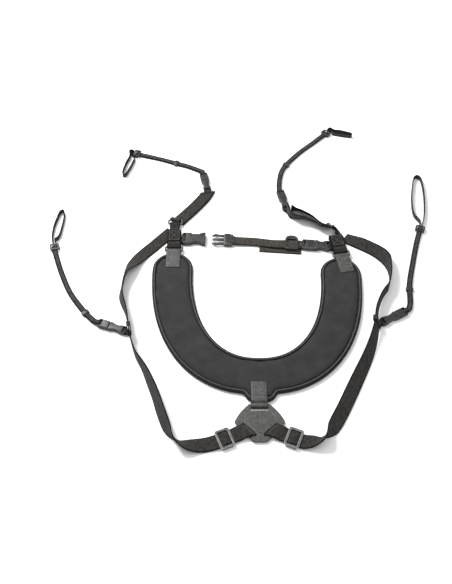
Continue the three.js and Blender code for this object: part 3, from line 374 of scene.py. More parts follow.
def new_piece(name, mesh):
    piece = bpy.data.objects.new(name, mesh)
    bpy.context.scene.collection.objects.link(piece)
    return only(piece)


def built(name, points, faces, uvs=()):
    """A piece of the points and faces, with its map in metres, its faces turned outwards."""
    mesh = bpy.data.meshes.new(name)
    mesh.from_pydata(points, [], faces)
    if uvs:
        layer = mesh.uv_layers.new(name="strap")
        for loop, uv in zip(layer.data, uvs):
            loop.uv = uv
    piece = new_piece(name, mesh)
    bpy.ops.object.mode_set(mode="EDIT")
    bpy.ops.mesh.select_all(action="SELECT")
    bpy.ops.mesh.normals_make_consistent(inside=False)
    bpy.ops.object.mode_set(mode="OBJECT")
    return piece


def dress(piece, finish, *nodes):
    """Gives a piece its finish and its place in the harness, standing for the CAD nodes named."""
    piece.data.materials.clear()
    piece.data.materials.append(FINISHES[finish])
    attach(piece, "root")
    if nodes:
        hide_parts(*nodes)
    return piece


def apply_all(piece):
    only(piece)
    for modifier in list(piece.modifiers):
        bpy.ops.object.modifier_apply(modifier=modifier.name)
    return piece


def soften(piece, radius, segments=2, angle=32):
    """Rounds a hard piece's edges, shades it smooth and marks the narrow faces along them, where plastic gets
    painted highlights and leather painted shade.
    """
    bevel = piece.modifiers.new("round", "BEVEL")
    bevel.width = radius
    bevel.segments = segments
    bevel.limit_method = "ANGLE"
    bevel.angle_limit = math.radians(angle)
    apply_all(piece)
    bpy.ops.object.shade_smooth_by_angle(angle=math.radians(40))
    edge_strip = piece.data.attributes.new("edge_strip", "FLOAT", "FACE")
    for face, mark in zip(piece.data.polygons, edge_strip.data):
        corners = [piece.data.vertices[i].co for i in face.vertices]
        around = sum((b - a).length for a, b in zip(corners, corners[1:] + corners[:1]))
        mark.value = float(2 * face.area < radius * 1.05 * around)
    return piece


def copy_of(node, name):
    """A merged copy of a CAD node's mesh, its flat triangles joined."""
    piece = new_piece(name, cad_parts[node].data.copy())
    bpy.ops.object.mode_set(mode="EDIT")
    bpy.ops.mesh.select_all(action="SELECT")
    bpy.ops.mesh.remove_doubles(threshold=MERGE)
    bpy.ops.mesh.customdata_custom_splitnormals_clear()
    bpy.ops.mesh.dissolve_limited(angle_limit=math.radians(FLAT_ANGLE))
    bpy.ops.object.mode_set(mode="OBJECT")
    return piece


def hard_part(node, finish="plastic", radius=FINE_EDGE):
    return dress(soften(copy_of(node, node + "_part"), radius), finish, node)


# Straps: the rings of corners along a strap's solid, and the cloth that follows them

def end_cap(edge):
    """The four corners round a cap's diagonal, or nothing where the edge is no such diagonal."""
    if len(edge.link_faces) != 2 or edge.calc_face_angle() > CAP_BEND:
        return None
    rim = [e for face in edge.link_faces for e in face.edges if e is not edge]
    if any(e.calc_face_angle() < CAP_EDGE_BEND for e in rim):
        return None
    one, other = edge.verts
    a, b = (next(v for v in face.verts if v not in edge.verts) for face in edge.link_faces)
    return [one.index, a.index, other.index, b.index]


def corner_rings(node, near_node):
    """The rings of four corners along a strap's solid, from its end near the node named."""
    shell = bmesh.new()
    shell.from_mesh(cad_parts[node].data)
    bmesh.ops.remove_doubles(shell, verts=shell.verts, dist=MERGE)
    near = {v.index: {e.other_vert(v).index for e in v.link_edges} for v in shell.verts}
    place = {v.index: v.co.copy() for v in shell.verts}
    caps = [cap for edge in shell.edges if (cap := end_cap(edge))]
    shell.free()
    low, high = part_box(near_node)
    target = (low + high) / 2
    order = min(caps, key=lambda cap: (sum((place[i] for i in cap), Vector()) / 4 - target).length)
    seen = set(order)
    rings = [order]
    while True:
        reach = [near[i] - seen for i in order]
        if not any(reach):
            break
        choices = []
        for picks in itertools.permutations(set().union(*reach)):
            linked = all(picks[k] in reach[k] and picks[k] in near[picks[k - 1]] for k in range(4))
            if linked:
                choices.append((sum((place[a] - place[b]).length for a, b in zip(order, picks)), picks))
        order = min(choices)[1]
        seen |= set(order)
        rings.append(order)
    corners = [[place[i] for i in ring] for ring in rings]
    return turned_up(corners)


def turned_up(corners):
    """Starts each ring at the same corner: first to second across the width, first to fourth upwards."""
    a = sum((c[1] - c[0]).length for c in corners)
    b = sum((c[2] - c[1]).length for c in corners)
    if a < b:
        corners = [c[1:] + c[:1] for c in corners]
    if sum((c[3] - c[0]).normalized().z for c in corners) < 0:
        corners = [c[2:] + c[:2] for c in corners]
    return corners


def smoothed(corners, pieces):
    """More rings between the rings given, on smooth curves through their corners."""
    rings = []
    last = len(corners) - 1
    for i in range(last):
        for k in range(pieces):
            t = k / pieces
            ring = []
            for c in range(4):
                p0, p1 = corners[max(i - 1, 0)][c], corners[i][c]
                p2, p3 = corners[i + 1][c], corners[min(i + 2, last)][c]
                bend = (2 * p0 - 5 * p1 + 4 * p2 - p3) * t * t + (3 * p1 - p0 - 3 * p2 + p3) * t ** 3
                ring.append((2 * p1 + (p2 - p0) * t + bend) / 2)
            rings.append(ring)
    rings.append(corners[last])
    return rings


def selvedge(round_share, low, high, crown=0.0):
    """A strap's section in shares of its width and thickness: flat faces and rounded edges."""
    middle, half = (low + high) / 2, (high - low) / 2
    top = []
    for i in range(SELVEDGE_STEPS + 1):
        x = -0.5 + round_share + (1 - 2 * round_share) * i / SELVEDGE_STEPS
        top.append((x, middle + half * (1 + crown * (1 - (2 * x) ** 2))))
    corner = 0.5 - round_share * 0.3
    edge = [(corner, middle + half * 0.72), (0.5, middle), (corner, middle - half * 0.72)]
    bottom = [(-x, 2 * middle - y) for x, y in top]
    other = [(-x, 2 * middle - y) for x, y in edge]
    return top + edge + bottom + other


def spread(ring):
    """A ring's centre, its way across the width and its way up through the thickness."""
    return (sum(ring, Vector()) / 4, (ring[1] - ring[0] + ring[2] - ring[3]) / 2,
            (ring[3] - ring[0] + ring[2] - ring[1]) / 2)


def cloth_mesh(name, rings, section):
    """A closed strap through the rings with the section, and its own map: metres along and across it."""
    count = len(section)
    points, faces, uvs = [], [], []
    along = 0.0
    before = None
    marks = []
    for ring in rings:
        centre, width, thick = spread(ring)
        if before is not None:
            along += (centre - before).length
        before = centre
        marks.append((along, width.length))
        points += [centre + width * x + thick * y for x, y in section]
    for i in range(len(rings) - 1):
        for k in range(count):
            m = (k + 1) % count
            corners = ((i, k), (i, m), (i + 1, m), (i + 1, k))
            faces.append([j * count + n for j, n in corners])
            uvs += [(marks[j][0], section[n][0] * marks[j][1]) for j, n in corners]
    for j, order in ((0, range(count - 1, -1, -1)), (len(rings) - 1, range(count))):
        faces.append([j * count + k for k in order])
        uvs += [(marks[j][0] + section[k][1] * 2 * MM, section[k][0] * marks[j][1]) for k in order]
    piece = built(name, points, faces, uvs)
    bpy.ops.object.shade_smooth_by_angle(angle=math.radians(50))
    share = piece.data.attributes.new("share", "FLOAT", "POINT")
    for i, mark in enumerate(share.data):
        mark.value = section[i % count][0]
    return piece


def strap(node, near_node, finish="webbing", layers=1, fine=4, crown=0.0):
    """One strap's cloth in one or more layers, each a piece; all stand for the strap's solid."""
    rings = smoothed(corner_rings(node, near_node), fine)
    for layer in range(layers):
        low = -0.5 + layer / layers + (LAYER_GAP / 2 if layer else 0)
        high = -0.5 + (layer + 1) / layers - (LAYER_GAP / 2 if layer < layers - 1 else 0)
        name = node + "_layer" + (str(layer + 1) if layers > 1 else "")
        dress(cloth_mesh(name, rings, selvedge(0.03, low, high, crown)), finish, node)
    return rings


def stitch_row(name, path):
    """A row of stitches along a path of (place, normal) pairs, half sunk in what they hold."""
    places = []
    total = sum((b[0] - a[0]).length for a, b in zip(path, path[1:]))
    count = max(1, round(total / STITCH_PITCH))
    step = total / count
    want = step / 2
    gone = 0.0
    for (a, na), (b, nb) in zip(path, path[1:]):
        span = (b - a).length
        while want <= gone + span + 1e-9 and span > 0:
            t = (want - gone) / span
            places.append((a.lerp(b, t), (b - a).normalized(), na.lerp(nb, t).normalized()))
            want += step
        gone += span
    points, faces = [], []
    for place, ahead, up in places:
        side = up.cross(ahead)
        base = len(points)
        for along, size in STITCH_SECTIONS:
            for angle in range(0, 360, 60):
                out = side * math.cos(math.radians(angle)) + up * math.sin(math.radians(angle))
                points.append(place + ahead * along * STITCH + out * STITCH_THICK * size / 2)
        for i in range(3):
            for k in range(6):
                a, b = base + 6 * i + k, base + 6 * i + (k + 1) % 6
                faces.append((a, b, b + 6, a + 6))
        faces.append([base + k for k in range(5, -1, -1)])
        faces.append([base + 18 + k for k in range(6)])
    piece = built(name, points, faces)
    bpy.ops.object.shade_smooth_by_angle(angle=math.radians(60))
    dress(piece, "thread")


def on_strap(rings, share, across, lift=0.0):
    """A place on a strap's upper face, with the face's direction."""
    spot = share * (len(rings) - 1)
    i = min(int(spot), len(rings) - 2)
    t = spot - i
    ring = [a.lerp(b, t) for a, b in zip(rings[i], rings[i + 1])]
    centre, width, thick = spread(ring)
    up = thick.normalized()
    return centre + width * across + thick / 2 + up * lift, up


def strap_row(name, rings, spots, lift=0.0):
    """A stitch row on a strap through spots of (share along, share across)."""
    path = []
    for (s0, c0), (s1, c1) in zip(spots, spots[1:]):
        for k in range(ROW_STEPS):
            t = k / ROW_STEPS
            path.append(on_strap(rings, s0 + (s1 - s0) * t, c0 + (c1 - c0) * t, lift))
    path.append(on_strap(rings, *spots[-1], lift))
    stitch_row(name, path)


# Webbing folded round bars, sewn stacks and moulded plates

def frame_at(origin, ahead, across):
    """A frame with x ahead, y across and z on the upper side."""
    ahead = ahead.normalized()
    up = ahead.cross(across).normalized()
    if up.z < 0:
        up.negate()
    matrix = Matrix((ahead, up.cross(ahead), up)).transposed().to_4x4()
    matrix.translation = origin
    return matrix


def sideways(aim):
    """The level direction to the left of one that runs level."""
    return Vector((-aim.y, aim.x, 0))


def middle_of(node):
    low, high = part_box(node)
    return (low + high) / 2


def long_way(node):
    """The direction in which a solid is longest, by its farthest corners' spread."""
    points = [v.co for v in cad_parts[node].data.vertices]
    centre = middle_of(node)
    aim = Vector((1, 0.3, 0.2)).normalized()
    for _ in range(SPREAD_STEPS):
        aim = sum(((p - centre) * (p - centre).dot(aim) for p in points), Vector()).normalized()
    return aim


def end_bar(node, away_from, inset=1.5 * MM):
    """The middle of the bar at a solid's end, on the side away from a place, and the way out there."""
    points = [v.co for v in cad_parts[node].data.vertices]
    centre = middle_of(node)
    out = centre - away_from
    out.z = 0
    out.normalize()
    side = sideways(out)
    reach = max((p - centre).dot(out) for p in points)
    level = [(p - centre).dot(side) for p in points if (p - centre).dot(out) > reach - 2 * MM]
    return centre + out * (reach - inset) + side * (min(level) + max(level)) / 2, out


def band_rings(matrix, path, width, thick):
    """Rings of corners along a path of (ahead, up) in a frame, level across."""
    rings = []
    for i, (x, z) in enumerate(path):
        ahead = Vector(path[min(i + 1, len(path) - 1)]) - Vector(path[max(i - 1, 0)])
        ahead.normalize()
        over = Vector((-ahead.y, 0, ahead.x)) * thick / 2
        side = Vector((0, width / 2, 0))
        centre = Vector((x, 0, z))
        corners = (-side - over, side - over, side + over, over - side)
        rings.append([matrix @ (centre + corner) for corner in corners])
    return rings


def folded(name, matrix, path, width, thick, finish, node):
    """A piece of webbing along a path in a frame's upright plane."""
    rings = band_rings(matrix, path, width, thick)
    return dress(cloth_mesh(name, rings, selvedge(0.04, -0.5, 0.5)), finish, node)


def arc(x, z, radius, start, end, steps=9):
    turns = (math.radians(start + (end - start) * k / steps) for k in range(steps + 1))
    return [(x + radius * math.cos(t), z + radius * math.sin(t)) for t in turns]


def wrap(name, bar, out, across, width, reach, finish, node, radius=BAR_WRAP, thick=WRAP_THICK):
    """Webbing round a bar, its two ends leaving on the out side and closing up there."""
    shut = thick * 0.55
    low = [(reach, -shut), (reach * 0.6, -shut - (radius - shut) * 0.3)]
    high = [(x, -z) for x, z in reversed(low)]
    path = low + arc(0, 0, radius, 290, 70, 14) + high
    return folded(name, frame_at(bar, out, across), path, width, thick, finish, node)


def slab(name, matrix, outline, low, high, finish, node, radius=SLAB_EDGE):
    """A plate with the outline in a frame, between two heights, its edges rounded."""
    bpy.ops.object.select_all(action="DESELECT")
    bpy.ops.mesh.primitive_circle_add(vertices=len(outline), radius=10 * MM, fill_type="NGON")
    piece = bpy.context.active_object
    piece.name = name
    for vertex, (x, y) in zip(piece.data.vertices, outline):
        vertex.co = (x, y, low)
    bpy.ops.object.mode_set(mode="EDIT")
    bpy.ops.mesh.select_all(action="SELECT")
    bpy.ops.mesh.extrude_region_move(TRANSFORM_OT_translate={"value": (0, 0, high - low)})
    bpy.ops.mesh.select_all(action="SELECT")
    bpy.ops.mesh.normals_make_consistent(inside=False)
    bpy.ops.object.mode_set(mode="OBJECT")
    piece.data.transform(matrix)
    return dress(soften(piece, radius), finish, node)


def flat_stitches(name, matrix, spots, height):
    """A stitch row through (x, y) spots at a height in a frame."""
    up = matrix.to_3x3() @ Vector((0, 0, 1))
    stitch_row(name, [(matrix @ Vector((x, y, height)), up) for x, y in spots])


def box_stitches(name, matrix, start, end, half, height):
    """A sewn box with a cross in it."""
    corners = [(start, -half), (end, -half), (end, half), (start, half)]
    flat_stitches(name + "_box", matrix, corners + corners[:1], height)
    flat_stitches(name + "_cross_one", matrix, [corners[0], corners[2]], height)
    flat_stitches(name + "_cross_two", matrix, [corners[3], corners[1]], height)


def make_stack(side):
    """The sewn stack: webbing looped round the pad ring's far bar, with more layers between and on top."""
    block = "shoulder_block_" + side
    ring = "pad_ring_" + side
    across = long_way(ring)
    across.z = 0
    if across.x < 0:
        across.negate()
    across.normalize()
    ahead = sideways(across)
    matrix = frame_at(middle_of(ring) + ahead * RING_HALF_PITCH, ahead, across)
    half = STACK_BAR
    end = STACK_LENGTH - STACK_LOOSE_END
    loop = [(end, -half), (end / 2, -half)] + arc(0, 0, half, 270, 90, 12) + [(end / 2, half), (end, half)]
    folded(block + "_loop", matrix, loop, STACK_WIDTH, STACK_LAYER, "stack_webbing", block)
    for k, (start, stop, level, wide) in enumerate(STACK_LAYERS):
        path = [(x * MM, level * MM) for x in (start, STACK_MIDDLE, stop)]
        folded(block + "_layer%d" % k, matrix, path, wide * MM, STACK_LAYER, "stack_webbing", block)
    lid = half + STACK_LAYER
    patch = [(12 * MM, lid), (25 * MM, lid + STACK_LAYER * 0.05), (38 * MM, lid)]
    folded(block + "_patch", matrix, patch, STACK_PATCH_WIDTH, STACK_LAYER * 0.8, "stack_webbing", block)
    top = half + STACK_LAYER * 1.42
    box_stitches(block + "_stitches", matrix, *STACK_PATCH_STITCHES, top)
    at, wide = STACK_ROW
    flat_stitches(block + "_bar", matrix, [(at, -wide), (at, wide)], half + STACK_LAYER / 2)
    return matrix


def make_neck_left(matrix):
    """The left-hand neck, which leaves the stack flat and goes round its ring's near bar."""
    block, ring = "shoulder_block_left", "top_ring_left"
    bar = middle_of(ring) - Vector((0, RING_HALF_PITCH, 0))
    far = (matrix.inverted() @ bar).x
    low = [(34 * MM, -0.9 * MM), (44 * MM, -1.2 * MM), (far - 8 * MM, -1.6 * MM), (far - 4 * MM, -2.5 * MM)]
    path = low + arc(far, 0, BAR_WRAP, 290, 430, 12) + [(x, -z) for x, z in reversed(low)]
    folded(block + "_neck", matrix, path, NECK_WIDTH, STACK_LAYER, "stack_webbing", block)
    at, wide = NECK_ROW
    flat_stitches(block + "_neck_row", matrix, [(at, -wide), (at, wide)], 2.3 * MM)


def make_neck_right(matrix):
    """The right-hand neck, rolled up on its edge from the stack to its ring."""
    block, ring = "shoulder_block_right", "top_ring_right"
    across = long_way(ring)
    if across.z < 0:
        across.negate()
    flat = Vector((across.x, across.y, 0)).normalized()
    ahead = Vector((flat.y, -flat.x, 0))
    bar = middle_of(ring) - ahead * RING_HALF_PITCH
    level = matrix.to_3x3() @ Vector((0, 1, 0))
    spots = []
    for x, y, z, turn in NECK_TURN:
        spots.append((matrix @ (Vector((x, y, z)) * MM), level.lerp(across, turn).normalized()))
    spots += [(bar - ahead * 6 * MM - across * 2 * MM, across), (bar - ahead * 1.5 * MM, across)]
    rings = []
    for i, (centre, side) in enumerate(spots):
        step = (spots[min(i + 1, len(spots) - 1)][0] - spots[max(i - 1, 0)][0]).normalized()
        over = step.cross(side).normalized() * STACK_LAYER
        wide = side * NECK_WIDTH / 2
        rings.append([centre - wide - over, centre + wide - over, centre + wide + over, centre - wide + over])
    rings = smoothed(rings, 5)
    for k, (low, high) in enumerate(((-0.5, -0.03), (0.03, 0.5))):
        cloth = cloth_mesh(block + "_neck%d" % k, rings, selvedge(0.04, low, high))
        dress(cloth, "stack_webbing", block)
    wrap(block + "_ring_wrap", bar, -ahead, across, NECK_WIDTH, NECK_REACH, "stack_webbing", block)
    far = middle_of(ring) + ahead * RING_HALF_PITCH
    wrap("upper_strap_right_wrap", far, ahead, across, RING_WEBBING, NECK_REACH, "webbing",
         "upper_strap_right")


def make_arch(node, rings, width, finish, stand_for, rise):
    """The webbing that rises over a slide's middle bar, in its window."""
    ahead = (sum(rings[-1], Vector()) - sum(rings[-6], Vector())) / 4
    ahead.z = 0
    ahead.normalize()
    across = sideways(ahead)
    low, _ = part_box(node)
    centre = middle_of(node)
    points = [v.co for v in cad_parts[node].data.vertices]
    half = max((p - centre).dot(ahead) for p in points) - SLIDE_END
    base = low.z + SLIDE_BAR
    matrix = frame_at(Vector((centre.x, centre.y, base)), ahead, across)
    climb = [(-half, -ARCH_DIP), (-half * 0.7, rise * 0.45), (-half * 0.35, rise * 0.92)]
    path = climb + [(0, rise)] + [(-x, z) for x, z in reversed(climb)]
    folded(node + "_webbing", matrix, path, width, WRAP_THICK, finish, stand_for)


# The pad and its bound edge

def rim_of(node):
    """The outline of a flat solid's top face, in order."""
    shell = bmesh.new()
    shell.from_mesh(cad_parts[node].data)
    bmesh.ops.remove_doubles(shell, verts=shell.verts, dist=MERGE)
    shell.normal_update()
    rim = [e for e in shell.edges if max(f.normal.z for f in e.link_faces) > LEVEL
           and min(f.normal.z for f in e.link_faces) < STEEP]
    start = max((v for e in rim for v in e.verts), key=lambda v: v.co.y)
    came = next(e for e in rim if start in e.verts)
    order, here = [start.co.copy()], came.other_vert(start)
    while here is not start:
        order.append(here.co.copy())
        came = next(e for e in here.link_edges if e in rim and e is not came)
        here = came.other_vert(here)
    shell.free()
    area = sum(a.x * b.y - b.x * a.y for a, b in zip(order, order[1:] + order[:1]))
    return order if area > 0 else order[::-1]


def round_loop(points, spacing):
    """A closed loop through the points on smooth curves, in even steps."""
    count = len(points)
    dense = []
    for i in range(count):
        p0, p1, p2, p3 = (points[(i + k) % count] for k in (-1, 0, 1, 2))
        t1 = max((p1 - p0).length, 1e-6) ** 0.5
        t2 = t1 + max((p2 - p1).length, 1e-6) ** 0.5
        t3 = t2 + max((p3 - p2).length, 1e-6) ** 0.5
        for k in range(12):
            t = t1 + (t2 - t1) * k / 12
            a1 = p0.lerp(p1, t / t1)
            a2 = p1.lerp(p2, (t - t1) / (t2 - t1))
            a3 = p2.lerp(p3, (t - t2) / (t3 - t2))
            b1 = a1.lerp(a2, t / t2)
            b2 = a2.lerp(a3, (t - t1) / (t3 - t1))
            dense.append(b1.lerp(b2, (t - t1) / (t2 - t1)))
    total = sum((b - a).length for a, b in zip(dense, dense[1:] + dense[:1]))
    steps = round(total / spacing)
    even, gone, want = [], 0.0, 0.0
    for a, b in zip(dense, dense[1:] + dense[:1]):
        span = (b - a).length
        while want < gone + span and len(even) < steps:
            even.append(a.lerp(b, (want - gone) / span))
            want += total / steps
        gone += span
    return even


def outward(loop):
    """The outward direction at each point of a loop that runs counterclockwise."""
    count = len(loop)
    aims = []
    for i in range(count):
        ahead = (loop[(i + 1) % count] - loop[i - 1]).normalized()
        aims.append(Vector((ahead.y, -ahead.x, 0)))
    return aims


def edge_band(name, loop, aims, profile, finish, *nodes):
    """A closed band round the pad: a profile of (outwards, height) carried along its rim."""
    count, size = len(loop), len(profile)
    lengths = [0.0]
    for a, b in zip(profile, profile[1:] + profile[:1]):
        lengths.append(lengths[-1] + math.dist(a, b))
    points, faces, uvs = [], [], []
    along = 0.0
    marks = []
    for i in range(count):
        marks.append(along)
        along += (loop[(i + 1) % count] - loop[i]).length
        foot = Vector((loop[i].x, loop[i].y, 0))
        points += [foot + aims[i] * out + Vector((0, 0, z)) for out, z in profile]
    marks.append(along)
    for i in range(count):
        j = (i + 1) % count
        for k in range(size):
            m = (k + 1) % size
            faces.append((i * size + k, j * size + k, j * size + m, i * size + m))
            uvs += [(marks[i], lengths[k]), (marks[i + 1], lengths[k]),
                    (marks[i + 1], lengths[k + 1]), (marks[i], lengths[k + 1])]
    piece = built(name, points, faces, uvs)
    bpy.ops.object.shade_smooth()
    dress(piece, finish, *nodes)


def swell(piece):
    """Blows a padded piece up as cloth for a moment, and keeps each point near its place."""
    rest = [v.co.copy() for v in piece.data.vertices]
    cloth = piece.modifiers.new("swell", "CLOTH")
    cloth.settings.use_pressure = True
    cloth.settings.uniform_pressure_force = SWELL_PRESSURE
    cloth.settings.effector_weights.gravity = 0
    cloth.settings.quality = 4
    scene = bpy.context.scene
    for step in range(1, SWELL_FRAMES + 1):
        scene.frame_set(step)
    apply_all(piece)
    for vertex, start in zip(piece.data.vertices, rest):
        move = vertex.co - start
        if move.length > SWELL_CAP:
            vertex.co = start + move.normalized() * SWELL_CAP
    scene.frame_set(1)


def make_pad():
    """The foam under its knit, then the bound edge and the piping round it."""
    loop = round_loop(rim_of("pad"), RIM_STEP)
    aims = outward(loop)
    low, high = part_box("pad")
    foam = copy_of("pad", "pad_foam")
    remesh = foam.modifiers.new("remesh", "REMESH")
    remesh.mode = "VOXEL"
    remesh.voxel_size = PAD_VOXEL
    apply_all(foam)
    swell(foam)
    tree = KDTree(len(loop))
    for i, point in enumerate(loop):
        tree.insert(Vector((point.x, point.y, 0)), i)
    tree.balance()
    seam_x = (low.x + high.x) / 2
    for vertex in foam.data.vertices:
        here = vertex.co
        flat = Vector((here.x, here.y, 0))
        _, index, depth = tree.find(flat)
        side = (flat - Vector((loop[index].x, loop[index].y, 0))).dot(aims[index])
        if side > PAD_OUTSET:
            flat = flat - aims[index] * (side - PAD_OUTSET)
        rise = min(depth / PAD_SHOULDER, 1)
        rise = math.sqrt(max(0, 1 - (1 - rise) ** 2))
        waves = sum(noise.noise(flat / size) * height for size, height in PAD_WAVES)
        share = min(max((here.z - low.z) / (high.z - low.z), 0), 1)
        ceiling = PAD_EDGE + (high.z + PAD_CROWN - PAD_EDGE) * rise + waves * rise
        if flat.y < low.y + SEAM_LENGTH:
            ceiling -= math.exp(-((flat.x - seam_x) / SEAM_WIDTH) ** 2) * SEAM_DEPTH
        vertex.co = Vector((flat.x, flat.y, PAD_FOOT + (ceiling - PAD_FOOT) * share))
    smooth = foam.modifiers.new("smooth", "CORRECTIVE_SMOOTH")
    smooth.iterations = 3
    smooth.use_only_smooth = True
    detail = foam.modifiers.new("detail", "SUBSURF")
    detail.levels = detail.render_levels = 1
    apply_all(foam)
    bpy.ops.object.shade_smooth()
    dress(foam, "neoprene", "pad")
    tape = [(x * MM, z * MM) for x, z in TAPE_PROFILE]
    edge_band("pad_edge_tape", loop, aims, tape, "binding", "pad_binding")
    # the piping bead is real; its lighter grey is a painted highlight
    bead = []
    for k in range(PIPING_SIDES):
        angle = math.radians(360 / PIPING_SIDES * k)
        bead.append((PIPING_OUT + PIPING * math.cos(angle), PIPING_LEVEL + PIPING * 0.8 * math.sin(angle)))
    edge_band("pad_piping", loop, aims, bead, "piping")


# Everything, piece by piece

make_pad()

for side in SIDES:
    block = "shoulder_block_" + side
    strap("side_strap_" + side, block)
    strap("upper_strap_" + side, "top_ring_" + side, layers=2 if side == "left" else 1)
    yoke = strap("yoke_strap_" + side, "yoke_plate")
    hard_part("adjuster_" + side, "slide_plastic", SOFT_EDGE)
    make_arch("adjuster_" + side, yoke, SLIDE_WEBBING, "webbing", "side_strap_" + side, SLIDE_RISE)
    for level in ("upper", "lower"):
        socket, plug, slider, lead, loop, keeper = (
            "_".join((level, part, side)) for part in ("socket", "plug", "slider", "lead", "loop", "keeper"))
        thin = strap(lead, plug, "lead_webbing", layers=2)
        strap(loop, slider, "lead_webbing")
        for part in (socket, plug, slider, keeper):
            hard_part(part)
        make_arch(slider, thin, LEAD_WIDTH, "lead_webbing", lead, SLIDER_RISE)
        bar, out = end_bar(plug, middle_of(socket))
        wrap(plug + "_wrap", bar, out, sideways(out), LEAD_WIDTH, WRAP_REACH, "lead_webbing", lead)
        bar, out = end_bar(socket, middle_of(plug))
        holder = "upper_strap_" + side if level == "upper" else "lower_hook_" + side
        wrap(socket + "_wrap", bar, out, sideways(out), SOCKET_WEBBING, WRAP_REACH, "webbing", holder)
    strap("pad_tab_" + side, "pad", "leather", fine=3, crown=TAB_CROWN)
    for part in ("pad_ring_", "top_ring_"):
        ring = part + side
        # the right pad ring takes the paler plastic to paint the bright line along its bar; the other rings
        # take the darker copy
        hard_part(ring, "plastic" if ring == "pad_ring_right" else "ring_plastic", SOFT_EDGE)
    matrix = make_stack(side)
    (make_neck_left if side == "left" else make_neck_right)(matrix)
    hard_part("lower_hook_" + side, "webbing")

strap("upper_return_right", "top_ring_right")
far = middle_of("top_ring_left") + Vector((0, RING_HALF_PITCH, 0))
wrap("upper_strap_left_wrap", far, Vector((0.35, 1, -0.25)), Vector((1, 0, 0)), RING_WEBBING, LINK_REACH,
     "webbing", "upper_strap_left", BAR_WRAP * 1.05, 1.9 * MM)
strap("yoke_tab", "pad", "leather", fine=3, crown=TAB_CROWN)
for side in SIDES:
    for node, near in (("yoke_strap_" + side, "yoke_plate"), ("upper_strap_" + side, "top_ring_" + side)):
        rings = smoothed(corner_rings(node, near), 4)
        for k, share in enumerate(STRAP_ROWS):
            strap_row(node + "_row%d" % k, rings, [(share, -0.4), (share, 0.4)])
strap("chest_strap", "chest_link_plug_right", "chest_webbing")
strap("chest_tail", "chest_link_plug_right", "chest_webbing")
strap("chest_anchor", "shoulder_block_left", "chest_webbing", fine=3)
for part in ("chest_link_socket_right", "chest_link_plug_right", "chest_keeper", "chest_socket"):
    hard_part(part)
hard_part("yoke_plate", "leather", SOFT_EDGE)
_, plate_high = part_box("yoke_plate")
slot = Vector((middle_of("yoke_tab").x, plate_high.y, 0))
# the tab's fold in the slot, and a pale lip along the slot whose colour is a painted highlight on the fold's
# lit edge
for name, half, foot, head, low, high, finish in (
    ("yoke_tab_fold", 14.6, -9.6, -4.6, 0.3, 1.9, "leather"),
    ("yoke_slot_lip", 14.9, -11.4, -9.5, 0.6, 2.3, "lit_edge_highlight"),
):
    outline = [(x * MM, y * MM) for x, y in ((-half, foot), (half, foot), (half, head), (-half, head))]
    slab(name, Matrix.Translation(slot), outline, low * MM, high * MM, finish, "yoke_tab", FOLD_EDGE)


def make_chest_plug():
    """The open plug: a domed base with its bar, a straight middle prong and two barbed arms.

    The outlines are in millimetres, ahead from the bar and across.
    """
    node = "chest_plug"
    bar, back = end_bar(node, middle_of("chest_socket"))
    matrix = frame_at(bar + back * 1.5 * MM, -back, sideways(back))
    low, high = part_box(node)
    half = (high.z - low.z) / 2

    def moulding(part, outline, share, radius, sign=1):
        spots = [(x * MM, sign * y * MM) for x, y in outline]
        slab(node + part, matrix, spots, -half * share, half * share, "plastic", node, radius)

    flank = [(4.6, 10), (5.2, 13.2), (12, 13.6), (16, 13), (17.4, 11.5)]
    moulding("_base", flank + [(x, -y) for x, y in reversed(flank)], 0.92, 1.6 * MM)
    horn = [(0, 10.2), (0, 13), (6, 13.4), (6, 10)]
    prong = [(16, 8.6), (16, 12.4), (22, 12), (28, 12.2), (33.4, 13.9), (35, 13), (40, 10.4), (40.6, 9.2),
             (39, 8.6), (33, 9.6), (26, 9)]
    for sign in (1, -1):
        moulding("_side%d" % sign, horn, 0.6, ARM_EDGE, sign)
        moulding("_arm%d" % sign, prong, 0.5, ARM_EDGE, sign)
    tongue = [(16, -2.4), (30, -1.8), (39, -1.6), (40, 0), (39, 1.6), (30, 1.8), (16, 2.4)]
    moulding("_middle", tongue, 0.4, 0.6 * MM)
    rail = [(0.2, -11), (0.2, 11), (3, 11), (3, -11)]
    moulding("_bar", rail, 1.5 * MM / half, ARM_EDGE)
    wrap(node + "_wrap", bar, back, sideways(back), CHEST_WEBBING, WRAP_REACH, "chest_webbing", "chest_strap")


make_chest_plug()
for node, other, holder, finish in (
    ("chest_link_plug_right", "chest_link_socket_right", "chest_strap", "chest_webbing"),
    ("chest_link_socket_right", "chest_link_plug_right", "shoulder_block_right", "stack_webbing"),
):
    bar, out = end_bar(node, middle_of(other))
    wrap(node + "_wrap", bar, out, sideways(out), LINK_WEBBING, LINK_REACH, finish, holder)


# Stitching on the leather

def sewn_tab(node, start, end, half):
    """A box of stitches on a leather tab, in shares of it from the pad."""
    rings = smoothed(corner_rings(node, "pad"), 3)
    spots = [(start, -half), (end, -half), (end, half), (start, half), (start, -half)]
    strap_row(node + "_stitches", rings, spots, STITCH_LIFT)


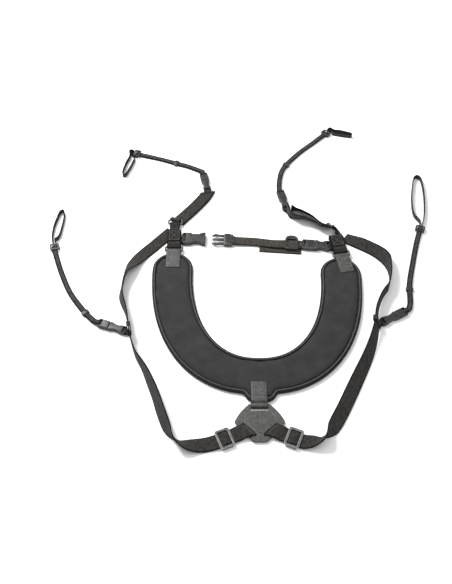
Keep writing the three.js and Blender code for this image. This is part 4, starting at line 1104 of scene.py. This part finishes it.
for side in SIDES:
    sewn_tab("pad_tab_" + side, TAB_ROW_START, 0.4, TAB_ROW_HALF)
sewn_tab("yoke_tab", TAB_ROW_START, 0.38, TAB_ROW_HALF)
edge = round_loop(rim_of("yoke_plate"), PLATE_RIM_STEP)
top = Vector((0, 0, plate_high.z))
up = Vector((0, 0, 1))
row = [(Vector((p.x, p.y, 0)) - aim * PLATE_ROW_INSET + top, up) for p, aim in zip(edge, outward(edge))]
stitch_row("yoke_plate_stitches", row + row[:1])


# Table, light and camera

def make_table():
    bpy.ops.object.select_all(action="DESELECT")
    bpy.ops.mesh.primitive_plane_add(size=TABLE_SIZE, location=(0, 0, TABLE_TOP))
    table = bpy.context.active_object
    table.name = "white_table"
    bpy.ops.object.transform_apply(location=True)
    table.data.materials.append(table_top("white_table"))


def make_light():
    world = bpy.data.worlds.new("studio")
    bpy.context.scene.world = world
    world.use_nodes = True
    background = world.node_tree.nodes["Background"]
    background.inputs["Color"].default_value = (1, 1, 1, 1)
    background.inputs["Strength"].default_value = ROOM
    for name, place, size, power in (
        ("window", WINDOW_PLACE, WINDOW_SIZE, WINDOW_POWER),
        ("ceiling", CEILING_PLACE, CEILING_SIZE, CEILING_POWER),
    ):
        lamp = bpy.data.lights.new(name, "AREA")
        lamp.shape = "SQUARE"
        lamp.size = size
        lamp.energy = power
        light = bpy.data.objects.new(name, lamp)
        light.location = place
        light.rotation_euler = (-place).to_track_quat("-Z", "Y").to_euler()
        bpy.context.scene.collection.objects.link(light)


def make_camera():
    low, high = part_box("pad_binding")
    middle = Vector(((low.x + high.x) / 2, low.y + PAD_MIDDLE_FROM_FOOT, 0))
    lens = bpy.data.cameras.new("camera")
    lens.lens = FOCAL_LENGTH
    lens.sensor_width = SENSOR
    camera = bpy.data.objects.new("camera", lens)
    camera.location = middle + LOOK_AT + Vector((0, -CAMERA_BACK, CAMERA_UP))
    camera.rotation_euler = (math.radians(CAMERA_TILT), 0, 0)
    bpy.context.scene.collection.objects.link(camera)
    bpy.context.scene.camera = camera


make_table()
make_light()
make_camera()
bpy.context.scene.view_settings.view_transform = "Standard"
